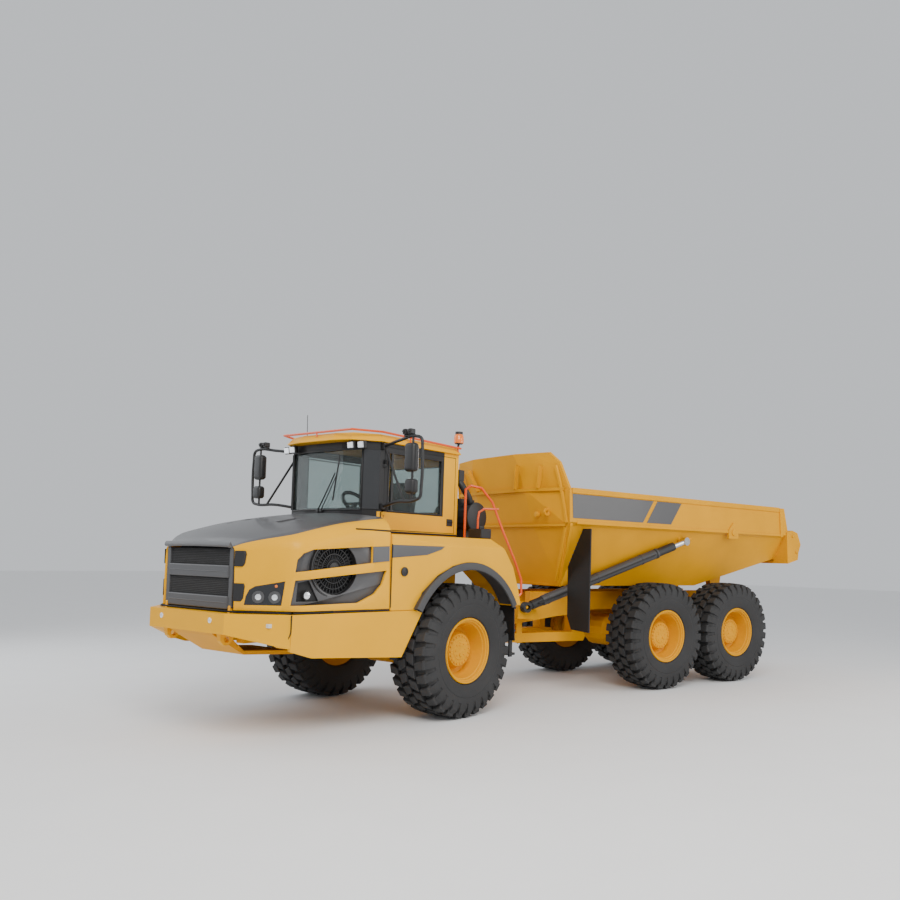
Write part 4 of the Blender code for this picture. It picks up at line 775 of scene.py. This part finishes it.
# %% Mesh guards
def mesh_sheet(name, corners, across, along, wire):
    """A wire mesh on the quad of four corners: a fine grid with a Wireframe modifier."""
    a, b, c, d = [Vector(v) for v in corners]
    rows = []
    for j in range(along + 1):
        v = j / along
        rows.append([tuple(a.lerp(b, i / across).lerp(d.lerp(c, i / across), v)) for i in range(across + 1)])
    piece = sheet(name, rows)
    return apply(piece, "WIREFRAME", thickness=wire, use_replace=True, use_even_offset=False)


# %% [markdown]
# ## Grille
# Four bands fill the nose from top to bottom: mesh, solid grey, mesh, solid grey. A dark frame
# holds them, with two tabs a side that lock into the bonnet. It folds down with its own hinge.

# %% Nose grille
GRILLE_Y, GRILLE_TOP, GRILLE_LOW, GRILLE_HALF = -2.655, 1.925, 1.31, 0.575


def across_nose(name, inset, low, high, front, back, edge):
    """A bar right across the grille, from front to back of its face plane."""
    half = GRILLE_HALF - inset
    return block(name, (-half, GRILLE_Y + front, low), (half, GRILLE_Y + back, high), edge)


# The near-black sheet just behind the mesh is painted shade: it darkens the grille's openings the way the shaded
# space behind them would.
shade_sheet_piece = across_nose("painted_shade_sheet", 0.0, GRILLE_LOW, GRILLE_TOP, 0.022, 0.034, 0.002)
posts, bands, wires = [], [], []
for sign in (1, -1):
    posts.append(block("post", (sign * (GRILLE_HALF - 0.05), GRILLE_Y - 0.002, GRILLE_LOW + 0.03),
                       (sign * (GRILLE_HALF + 0.012), GRILLE_Y + 0.03, GRILLE_TOP), 0.006))
for low, high in ((1.322, 1.452), (1.633, 1.757)):
    middle = (low + high) / 2
    bands.append(across_nose("band", 0.045, low, high, -0.012, 0.02, 0.010))
    bands.append(across_nose("fold", 0.06, middle - 0.004, middle + 0.004, -0.016, -0.008, 0.003))
for low, high in ((1.452, 1.633), (1.757, GRILLE_TOP - 0.01)):
    half, y = GRILLE_HALF - 0.045, GRILLE_Y + 0.006
    corners = [(-half, y, low), (half, y, low), (half, y, high), (-half, y, high)]
    wires.append(mesh_sheet("nose_mesh", corners, 64, max(6, int((high - low) / 0.017)), 0.0050))
frame_piece = joined("grille_frame_fine", posts)
band_piece = joined("grille_bands", bands)
mesh_piece = joined("grille_mesh", wires)
for piece, material in ((shade_sheet_piece, DARK), (frame_piece, GREY), (band_piece, GREY), (mesh_piece, TRIM)):
    fit(piece, material, "grille")
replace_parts(frame_piece, "grille")
for low, high in ((1.41, 1.585), (1.75, 1.905)):
    outline = [(0.625, low), (0.685, low), (0.700, low + 0.03), (0.708, high - 0.03), (0.700, high), (0.625, high)]
    tab = panel("nose_tab_%d" % (low * 100), outline, "Y", 0, 0.03)
    for vert in tab.data.vertices:
        rake = max(0, vert.co.x - 0.63) * (2.66 - 2.30) / (1.13 - 0.63)
        vert.co.y = -2.662 + rake + (0.02 if vert.co.y > 0.015 else -0.006)
    both_sides(bevel(tab, 0.003), BLACK, "hood")
print("nose grille done")

# %% [markdown]
# ## Lamps
# The headlamps sit in a dark pocket on each raked corner, with two round reflectors and a small
# amber marker. Each lamp is a spun bowl behind a bright ring.

# %% Headlamps on the raked corners
pocket = corner_panel("lamp_glass_cover", LAMP_OUTLINE, 0.022, -0.010)
both_sides(bevel(pocket, 0.003), GLOSS, "hood")
bowls, rims = [], []
for share in (0.38, 0.66):
    centre = on_corner(share, 1.455, -0.008)
    bowls.append(disc("lamp", centre, OUT, 0.030, 0.012, 40, 0.004))
    ring = turned("lamp_ring", (0, 0, 0), [(0, 0.030), (0, 0.062), (0.005, 0.060), (0.007, 0.032)], "Z", 40)
    ring.data.transform(Matrix.Translation(centre) @ facing_from_z(OUT))
    rims.append(ring)
both_sides(joined("headlamps", bowls), LAMP, "hood")
both_sides(joined("lamp_rings", rims), GREY, "hood")
both_sides(disc("corner_marker", on_corner(0.68, 1.565, -0.006), OUT, 0.014, 0.010, 20, 0.003), AMBER, "hood")


# %% Work lamps under the visor
cases, lenses = [], []
LAMP_SIZE = 0.056
lamp_turn = Vector((0, -1, 0)).rotation_difference(Vector((0, -1, -0.15))).to_matrix().to_4x4()
for x, y in ((0.66, -1.13), (0.52, -1.16), (-0.52, -1.16), (-0.66, -1.13)):
    case = block("work_lamp_case", (-LAMP_SIZE, 0.0, -LAMP_SIZE * 0.8), (LAMP_SIZE, 0.05, LAMP_SIZE * 0.8), 0.012)
    lens = block("work_lamp_lens", (-LAMP_SIZE * 0.82, -0.008, -LAMP_SIZE * 0.62),
                 (LAMP_SIZE * 0.82, 0.004, LAMP_SIZE * 0.62), 0.008)
    for made, group in ((case, cases), (lens, lenses)):
        made.data.transform(Matrix.Translation((x, y, 3.145)) @ lamp_turn)
        group.append(made)
fit(joined("work_lamp_cases", cases), BLACK)
fit(joined("work_lamp_lenses", lenses), LAMP)
print("lamps done")

# %% [markdown]
# ## Cab trim
# The cab needs the small things that make it read as a cab: black gaskets round the glass, a
# double-arm wiper, mirror glasses and cameras, a beacon, door handle and seams.

# %% Glass gaskets and wiper
HALF_CAB, SILL, HEAD = 0.74, 2.41, 3.11


def gasket(name, points, radius=0.011):
    """A closed rubber bead through corner points."""
    return pipe(name, points + points[:1], radius, 2, curve=False)


side_window = [(-0.76, SILL), (0.14, SILL), (0.14, HEAD - 0.02), (-0.76, HEAD - 0.02)]
fit(gasket("door_glass_bead", [(HALF_CAB + 0.001, y, z) for y, z in side_window]), BLACK, "cab_door")
screen = [(-0.61, SILL), (-0.31, SILL), (0.31, SILL), (0.61, SILL), (0.61, HEAD), (0.31, HEAD), (-0.31, HEAD),
          (-0.61, HEAD)]
rear_window = [(-0.48, SILL + 0.05), (0.48, SILL + 0.05), (0.48, HEAD - 0.05), (-0.48, HEAD - 0.05)]
beads = [
    gasket("right_bead", [(-HALF_CAB - 0.001, y, z) for y, z in side_window]),
    gasket("front_bead", [(x, -1.098 + max(0, abs(x) - 0.31) * 0.157, z) for x, z in screen]),
    gasket("rear_bead", [(x, 0.461, z) for x, z in rear_window]),
]
fit(joined("cab_glass_beads", beads), BLACK)
wiper = [
    pipe("arm", [(-0.06, -1.120, 2.40), (0.09, -1.130, 2.60), (0.24, -1.128, 2.84)], 0.008, 2),
    pipe("arm", [(0.00, -1.120, 2.40), (0.13, -1.132, 2.58), (0.26, -1.130, 2.80)], 0.006, 2),
    pipe("blade", [(0.20, -1.116, 2.52), (0.26, -1.122, 2.80), (0.30, -1.116, 3.04)], 0.009, 2),
    disc("pivot", (-0.06, -1.110, 2.395), (0, -1, 0), 0.022, 0.035, 16, 0.004),
    disc("pivot", (0.00, -1.110, 2.395), (0, -1, 0), 0.018, 0.035, 16, 0.004),
]
fit(joined("wiper", wiper), BLACK)
post = [(0.632, -1.052), (0.742, -0.902), (0.748, -0.906), (0.638, -1.056)]
both_sides(panel("corner_pane", post, "Z", SILL + 0.01, HEAD - 0.01), GLOSS)

# %% Door handle and seams
bar = [(0.004, 0.275, 2.33), (0.03, 0.29, 2.335), (0.03, 0.34, 2.335), (0.004, 0.355, 2.33)]
handle = [
    block("handle_plate", (HALF_CAB - 0.002, 0.26, 2.28), (HALF_CAB + 0.006, 0.37, 2.37), 0.004),
    pipe("handle_bar", [(HALF_CAB + out, y, z) for out, y, z in bar], 0.007, 2),
]
fit(joined("door_handle", handle), BLACK, "cab_door")
door_edge = [(-0.8225, 2.1875), (0.4025, 2.1875), (0.4025, 3.1525), (-0.8225, 3.1525)]
fit(gasket("door_seam", [(HALF_CAB - 0.004, y, z) for y, z in door_edge], 0.006), DARK)
quarter = block("quarter_post", (HALF_CAB - 0.012, -0.715, SILL + 0.004), (HALF_CAB + 0.004, -0.685, HEAD - 0.024))
fit(quarter, BLACK, "cab_door")

# %% Mirrors
def mirror_set(sign, tag):
    """Tube frame, two rounded heads with glass, and two cameras on top."""
    y, arm_y, top, low, x_in, x_out = -1.0, -0.86, 3.21, 2.51, 0.76, 1.50
    frame_path = [
        (x_in, arm_y, top - 0.06), (1.10, -0.95, top - 0.02), (x_out - 0.08, y, top),
        (x_out - 0.015, y, top - 0.03), (x_out, y, top - 0.12), (x_out, y, low + 0.12),
        (x_out - 0.015, y, low + 0.03), (x_out - 0.08, y, low), (1.10, -0.95, low - 0.01),
        (x_in, arm_y, low - 0.055),
    ]
    brace_path = [(x_in + 0.01, arm_y, top - 0.06), (1.22, y + 0.02, low - 0.005)]
    stem_path = [(1.36, y, top - 0.01), (1.36, y, low)]
    tubes = []
    for name, path, radius, sides in (("frame_tube", frame_path, 0.018, 4), ("brace", brace_path, 0.014, 3),
                                      ("stem", stem_path, 0.013, 3)):
        tubes.append(pipe(name, [(sign * x, y, z) for x, y, z in path], radius, sides))
    for z0, z1 in ((3.11, 3.19), (2.42, 2.49)):
        tubes.append(block("foot", (sign * 0.744, -0.89, z0), (sign * 0.79, -0.84, z1), 0.008))
    glass = []
    for x0, x1, z0, z1, edge in ((1.27, 1.43, 2.82, 3.14, 0.040), (1.29, 1.43, 2.58, 2.74, 0.034)):
        inner, outer = sorted((sign * x0, sign * x1))
        head = block("head", (inner, y - 0.06, z0), (outer, y + 0.04, z1), 0)
        tubes.append(smooth(bevel(head, edge, 5, 20), 60))
        glass.append(block("mirror_face", (inner + 0.022, y + 0.036, z0 + 0.025),
                           (outer - 0.022, y + 0.043, z1 - 0.025), 0.003))
    for x in (1.25, 1.33):
        tubes.append(block("camera", (sign * x - 0.026, -1.04, 3.235), (sign * x + 0.026, -0.96, 3.300), 0.012))
        tubes.append(disc("camera_eye", (sign * x, -1.046, 3.27), (0, -1, 0), 0.017, 0.016, 20, 0.003))
    tubes.append(block("camera_bridge", (sign * 1.22, -1.01, 3.215), (sign * 1.37, -0.97, 3.240), 0.006))
    for z in (2.90, 3.06, 2.66):
        tubes.append(block("clamp", (sign * 1.36 - 0.022, -1.02, z - 0.014),
                           (sign * 1.36 + 0.022, -0.98, z + 0.014)))
    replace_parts(fit(joined("mirror_arm_" + tag, tubes), BLACK), "mirror_" + tag)
    fit(joined("mirror_glass_" + tag, glass), STEEL)


mirror_set(1, "left")
mirror_set(-1, "right")

# %% Beacon lens, aerial and roof pod
dome = [(3.37, 0.005), (3.37, 0.062), (3.40, 0.066), (3.47, 0.060), (3.505, 0.035), (3.515, 0.005)]
fit(turned("beacon_lens", (0.66, 0.54, 0), dome, "Z", 32), AMBER)
aerial = [pipe("aerial_rod", [(-0.26, -1.15, 3.27), (-0.262, -1.152, 3.40), (-0.264, -1.154, 3.55)], 0.004, 2),
          disc("aerial_foot", (-0.26, -1.15, 3.275), (0, 0, 1), 0.020, 0.03, 20, 0.006)]
fit(joined("aerial", aerial), BLACK)
fit(block("roof_pod", (-0.36, -0.34, 3.285), (0.36, 0.26, 3.325), 0.018), YELLOW)
print("cab trim done")

# %% [markdown]
# The seat is upholstered. A cushion is a crowned, closed form: the CAD block is shrunk a little,
# remeshed, blown up as cloth for a few steps, held to a small cap and then smoothed.

# %% Seat
def cushion(name, node, squeeze, cap):
    """Inflate a copy of a CAD seat block as cloth."""
    source = frame["nodes"][node]
    piece = copy_of(source, name)
    piece.modifiers.clear()
    low, high = [Vector(corner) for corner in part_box(node)]
    middle = (low + high) / 2
    for vert in piece.data.vertices:
        vert.co = middle + (vert.co - middle) * squeeze
    only(piece)
    outward()
    bevel(piece, 0.03, 3, 20)
    apply(piece, "REMESH", mode="VOXEL", voxel_size=0.009)
    start = [v.co.copy() for v in piece.data.vertices]
    only(piece)
    soft = piece.modifiers.new("Cloth", "CLOTH")
    soft.settings.quality = 5
    soft.settings.use_pressure = True
    soft.settings.uniform_pressure_force = 4
    soft.settings.effector_weights.gravity = 0
    for step in range(1, 21):
        bpy.context.scene.frame_set(step)
    bpy.ops.object.modifier_apply(modifier=soft.name)
    bpy.context.scene.frame_set(1)
    for vert, was in zip(piece.data.vertices, start):
        move = vert.co - was
        if move.length > cap:
            vert.co = was + move.normalized() * cap
        vert.co = [min(max(vert.co[k], low[k] - 0.004), high[k] + 0.004) for k in range(3)]
    piece.data.materials.clear()
    piece.data.materials.append(CLOTH)
    smooth(piece, 60)
    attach(piece, "root")
    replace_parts(piece, node)


cushion("seat_cushion_fine", "seat_cushion", 0.95, 0.014)
cushion("seat_back_fine", "seat_back", 0.95, 0.014)
print("seat done")

# %% [markdown]
# ## Body panels
# Steps between panels read as dark lines. A thin black strip a hair proud of the paint marks each
# seam, and the arch has a moulded lip that sticks out past the fender with a rubber flap below.

# %% Seams, arch lips and flaps
GAP_Z, ARCH_Y = 1.305, 0.06


def strip(name, points, radius=0.007):
    """A straight-edged dark bead through points."""
    return pipe(name, points, radius, 1, curve=False)


lines = [
    strip("belt_gap", [(side_x(y) - 0.004, y, GAP_Z) for y in (-2.33, -1.75, -1.17)], 0.009),
    strip("rear_seam", [(side_x(-1.154) - 0.002, -1.155, z) for z in (1.33, 1.7, 2.02)], 0.006),
]
both_sides(joined("panel_seams", lines), DARK)
nose_line = [(-1.10, -2.34), (-0.66, -2.66), (0.66, -2.66), (1.10, -2.34)]
fit(strip("nose_gap", [(x, y, GAP_Z) for x, y in nose_line], 0.010), DARK)
bonnet_line = [(side_x(-1.60) - 0.046, -1.60, 2.166), (side_x(-1.40) - 0.028, -1.40, 2.164),
               (side_x(-1.17) - 0.018, -1.175, 2.160)]
both_sides(strip("bonnet_groove", bonnet_line, 0.009), DARK, "hood")
base = [strip("cab_base", [(0.95, -1.13, 2.150), (0.752, -0.86, 2.165), (0.748, 0.46, 2.165)], 0.012),
        strip("cab_seam", [(0.748, -0.87, 2.165), (0.748, -0.87, 2.39)], 0.006)]
both_sides(joined("cab_base_gap", base), DARK)


def arch_lip():
    """A moulded lip round the wheel opening, thick at its outer edge."""
    section = ((1.10, 1.034), (1.335, 1.036), (1.352, 1.046), (1.364, 1.040), (1.368, 1.000), (1.364, 0.960),
               (1.350, 0.952), (1.330, 0.965), (1.300, 1.012), (1.10, 1.014))
    rows = []
    for i in range(23):
        turn = math.radians(150 - 120 * i / 22)
        y, z = math.cos(turn), math.sin(turn)
        rows.append([(x, ARCH_Y + radius * y, RADIUS + radius * z) for x, radius in section])
    piece = sheet("arch_lip", rows)
    apply(piece, "SOLIDIFY", thickness=0.004, offset=-1)
    return smooth(piece, 50)


both_sides(arch_lip(), TRIM)
flap_rows = []
for j in range(9):
    z = 1.36 - 0.52 * j / 8
    bulge = 0.965 + 0.03 * (j / 8) ** 2
    flap_rows.append([(0.80 + 0.52 * i / 8, bulge + 0.012 * math.sin(i * 1.3) * j / 8, z) for i in range(9)])
flap = sheet("wheel_flap", flap_rows)
apply(flap, "SOLIDIFY", thickness=0.012, offset=0)
both_sides(smooth(flap, 50), FLAP)
cap_x = side_x(-0.98)
cap_rim = [(-0.004, 0.030), (-0.004, 0.052), (0.008, 0.050), (0.012, 0.030)]
cap = [turned("cap_ring", (cap_x + 0.004, -0.98, 1.72), cap_rim, "X", 32),
       disc("cap_lid", (cap_x + 0.006, -0.98, 1.72), (1, 0, 0), 0.032, 0.014, 24, 0.004)]
fit(joined("filler_cap", cap), BLACK)

# %% Bumper details
lamps = [disc("bumper_lamp", (x, -2.781, 1.215), (0, -1, 0), 0.028, 0.012, 28, 0.004) for x in (-0.43, 0.43)]
fit(joined("bumper_reflectors", lamps), LAMP)
seam = strip("bumper_seam", [(1.118, -2.345, 1.285), (1.118, -2.345, 1.12), (1.09, -2.352, 1.05)], 0.006)
both_sides(seam, DARK)
fit(block("small_blank_plate", (0.90, -2.505, 1.16), (0.98, -2.46, 1.20), 0.002), PLATE)
print("panels done")

# %% [markdown]
# ## Dump body
# The body is welded plate. Pressed ribs stiffen the headboard and a box rail runs along each side.
# Ribs are thin blocks laid on the plate; the welds' soft corners come from their bevels.

# %% Headboard ribs and bend lines
LEVELS = [(1.51, 0.83, 2.52, 2.52), (2.36, 1.335, 2.18, 2.24), (2.87, 1.335, 2.00, 2.20), (3.22, 1.24, 1.90, 2.10)]


def board_point(x, z, proud=0.0):
    """A point on the front face of the headboard."""
    for (z0, h0, m0, s0), (z1, h1, m1, s1) in zip(LEVELS, LEVELS[1:]):
        if z0 <= z <= z1 or (z1, h1, m1, s1) == LEVELS[-1]:
            t = (z - z0) / (z1 - z0)
            half, mid, side = h0 + (h1 - h0) * t, m0 + (m1 - m0) * t, s0 + (s1 - s0) * t
            break
    knee = half * 0.45
    share = max(0.0, (abs(x) - knee) / (half - knee))
    return (x, mid + (side - mid) * share - 0.03 - proud, z)


def rib(name, ends, width=0.035, height=0.022):
    """A rib on the headboard between two (x, z) points."""
    (x0, z0), (x1, z1) = ends
    direction = Vector((x1 - x0, 0, z1 - z0)).normalized()
    across = Vector((-direction.z, 0, direction.x)) * width / 2
    rows = []
    for i in range(7):
        t = i / 6
        x, z = x0 + (x1 - x0) * t, z0 + (z1 - z0) * t
        row = []
        for side, lift in ((-1, -0.01), (-1, height), (1, height), (1, -0.01)):
            spot = Vector((x, 0, z)) + across * side
            row.append(board_point(spot.x, spot.z, lift))
        rows.append(row)
    piece = sheet(name, rows)
    apply(piece, "SOLIDIFY", thickness=0.003, offset=-1)
    return bevel(piece, 0.003)


RIBS = (((0.46, 2.88), (0.60, 3.20), 0.02, 0.05), ((0.88, 2.88), (0.98, 3.18), 0.02, 0.05),
        ((0.80, 1.60), (1.26, 2.34), 0.03, 0.016), ((1.30, 2.40), (1.20, 3.18), 0.03, 0.016))
ribs, eyes = [], []
for sign in (1, -1):
    for (x0, z0), (x1, z1), width, height in RIBS:
        ribs.append(rib("rib", ((sign * x0, z0), (sign * x1, z1)), width, height))
    centre = Vector(board_point(sign * 0.98, 2.55, 0.03))
    eyes.append(turned("eye", centre, [(-0.012, 0.022), (-0.012, 0.055), (0.012, 0.055), (0.012, 0.022)], "X", 24))
    eyes.append(disc("boss", Vector(board_point(sign * 0.78, 2.52, 0.02)), (0, -1, 0), 0.04, 0.05, 24, 0.006))
ribs.append(rib("rib", ((-1.28, 2.37), (1.28, 2.37)), 0.03, 0.010))
ribs.append(rib("rib", ((-1.29, 2.86), (1.29, 2.86)), 0.04, 0.012))
fit(joined("headboard_ribs", ribs), GOLDEN, "bed", "rear")
fit(joined("lifting_eyes", eyes), GOLDEN, "bed", "rear")

# %% Side rails, blank rail panels, pins and a bracket on the rail
RAIL_X = 1.352
FRONT_PANEL = [(2.27, 2.465), (3.64, 2.465), (3.86, 2.795), (2.25, 2.795)]
REAR_PANEL = [(3.72, 2.465), (4.25, 2.465), (4.48, 2.795), (3.94, 2.795)]
BRACKET = [(5.62, 2.30), (5.86, 2.30), (5.86, 2.44), (5.74, 2.56), (5.62, 2.44)]
STIFFENER = [(7.04, 2.38), (7.10, 2.38), (7.10, 2.86), (7.00, 2.86)]
rails, panels, bosses = [], [], []
for sign in (1, -1):
    rails.append(block("top_rail", (sign * (RAIL_X - 0.03), 2.24, 2.80),
                       (sign * (RAIL_X + 0.016), 7.00, 2.88), 0.012))
    rails.append(block("low_rail", (sign * (RAIL_X - 0.02), 2.34, 2.385),
                       (sign * (RAIL_X + 0.010), 7.06, 2.43), 0.010))
    low, high = sorted((sign * (RAIL_X - 0.012), sign * (RAIL_X + 0.002)))
    for outline in (FRONT_PANEL, REAR_PANEL):
        panels.append(panel("rail_panel", outline, "X", low, high, 0.0015))
    low, high = sorted((sign * 1.33, sign * 1.372))
    bosses.append(panel("rail_bracket", BRACKET, "X", low, high, 0.004))
    for y, z, radius, sides, edge in ((5.74, 2.40, 0.055, 28, 0.006), (7.38, 2.40, 0.022, 20, 0.004),
                                      (7.50, 2.12, 0.022, 20, 0.004)):
        bosses.append(disc("pin", (sign * 1.375, y, z), (1, 0, 0), radius, 0.03, sides, edge))
    bosses.append(panel("tail_stiffener", STIFFENER, "X", low, high, 0.004))
for name, pieces, material in (("body_rails", rails, GOLDEN), ("blank_rail_panels", panels, GREY),
                               ("body_bosses", bosses, GOLDEN)):
    fit(joined(name, pieces), material, "bed", "rear")
bolt_heads = [disc("flap_bolt", (1.235 - 0.030 * i, 2.534, 2.30 - 0.055 * i), (0, -1, 0), 0.011, 0.012, 8, 0.002)
              for i in range(9)]
both_sides(joined("flap_bolts", bolt_heads), CAST, "bed", "rear")
print("dump body done")

# %% Hoist sleeves, clamps and pipes, and the hoses at the pivot
HOIST_LOW, HOIST_HIGH = (0.75, 1.97, 1.22), (1.30, 4.64, 2.22)
for sign, tag in ((1, "left"), (-1, "right")):
    low = Vector((sign * HOIST_LOW[0], *HOIST_LOW[1:]))
    high = Vector((sign * HOIST_HIGH[0], *HOIST_HIGH[1:]))
    direction = (high - low).normalized()
    barrel = "hoist_barrel_" + tag
    bands = [disc("clamp", low.lerp(high, share), direction, 0.078, 0.035, 32, 0.005)
             for share in (0.12, 0.42, 0.70, 0.80)]
    bands.append(disc("sleeve", low.lerp(high, 0.44), direction, 0.073, (high - low).length * 0.70, 40, 0.008))
    fit(joined("hoist_clamps_" + tag, bands), TRIM, barrel, "rear")
    side = direction.cross(Vector((0, 0, 1))).normalized() * 0.076 * sign
    route = [low.lerp(high, s) + side * (1.0 + 0.06 * math.sin(s * 9)) for s in (0.06, 0.2, 0.4, 0.6, 0.78)]
    fit(pipe("hoist_pipe_" + tag, route, 0.012, 3), BLACK, barrel, "rear")
hoses = []
for x, z in ((0.10, 1.26), (0.17, 1.30), (-0.10, 1.26), (-0.17, 1.30), (0.24, 1.28)):
    route = [(x, 0.34, z), (x * 1.2, 0.70, z + 0.05), (x * 1.1, 1.05, z + 0.02), (x, 1.35, z - 0.03)]
    hoses.append(pipe("hose", route, 0.018, 3))
fit(joined("hydraulic_hoses", hoses), BLACK)
deck_kit = [
    pipe("intake", [(0.66, 0.78, 2.50), (0.74, 0.70, 2.62), (0.72, 0.60, 2.78), (0.66, 0.545, 2.90)], 0.045, 4),
    pipe("duct", [(0.20, 0.80, 2.40), (0.02, 0.78, 2.36), (-0.12, 0.74, 2.22), (-0.16, 0.72, 2.15)], 0.055, 4),
    disc("filter_lid", (0.79, 0.78, 2.42), (1, 0, 0), 0.195, 0.035, 40, 0.010),
    disc("filter_band", (0.50, 0.78, 2.42), (1, 0, 0), 0.197, 0.03, 40, 0.006),
    block("battery_box", (0.90, 0.50, 2.135), (1.12, 0.70, 2.26), 0.012),
    disc("deck_cap", (1.02, 0.60, 2.275), (0, 0, 1), 0.05, 0.03, 24, 0.006),
    block("tank", (-1.20, 0.10, 2.135), (-0.84, 0.52, 2.36), 0.03),
]
fit(joined("deck_equipment", deck_kit), BLACK)
print("hydraulics done")

# %% [markdown]
# ## Studio
# A pale floor, a big soft key from the front left, a cooler fill and a pale sky give an even,
# outdoor look with a soft shadow. The camera is low and close, so the truck towers over it.

# %% Floor, lights and sky
bpy.ops.object.select_all(action="DESELECT")
bpy.ops.mesh.primitive_plane_add(size=120, location=(0, 0, -0.002))
floor = bpy.context.object
floor.name = "floor"
floor.data.materials.append(finish("pale_floor", (0.86, 0.86, 0.86), 0.8, grain=4, bump=0.0005, drift=0.01))
sky = bpy.data.worlds.new("sky")
bpy.context.scene.world = sky
sky.use_nodes = True
sky.node_tree.nodes["Background"].inputs["Color"].default_value = (0.93, 0.96, 1.0, 1)
sky.node_tree.nodes["Background"].inputs["Strength"].default_value = 0.75


def lamp(name, place, size, power, tint=(1, 1, 1)):
    """A square area light that looks at the middle of the truck."""
    bpy.ops.object.light_add(type="AREA", location=place)
    light = bpy.context.object
    light.name = name
    light.data.size = size
    light.data.energy = power
    light.data.color = tint
    light.rotation_euler = (Vector((0, 0, 1.5)) - Vector(place)).to_track_quat("-Z", "Y").to_euler()


lamp("key", (7, -9, 9), 6, 1150, (1.0, 0.97, 0.92))
lamp("side", (10, 3, 5), 6, 420, (1.0, 0.98, 0.95))
lamp("fill", (-8, -6, 6), 8, 350, (0.92, 0.96, 1.0))

# %% Camera
LENS, SHIFT = 33.4, (-0.1057, 0.0743)
EYE = FRONT @ Vector((7.869, -7.593, 1.908))
AZIMUTH, ELEVATION, ROLL = math.radians(35.49), math.radians(-2.83), math.radians(1.46)
level = math.cos(ELEVATION)
ahead = Vector((-math.sin(AZIMUTH) * level, math.cos(AZIMUTH) * level, -math.sin(ELEVATION)))
right = Vector((math.cos(AZIMUTH), math.sin(AZIMUTH), 0))
upward = right.cross(ahead)
right, upward = (right * math.cos(ROLL) + upward * math.sin(ROLL),
                 upward * math.cos(ROLL) - right * math.sin(ROLL))
bpy.ops.object.camera_add(location=EYE)
camera = bpy.context.object
camera.rotation_euler = Matrix((right, upward, -ahead)).transposed().to_euler()
camera.data.sensor_width = 36
camera.data.lens = LENS
camera.data.shift_x, camera.data.shift_y = SHIFT
bpy.context.scene.camera = camera
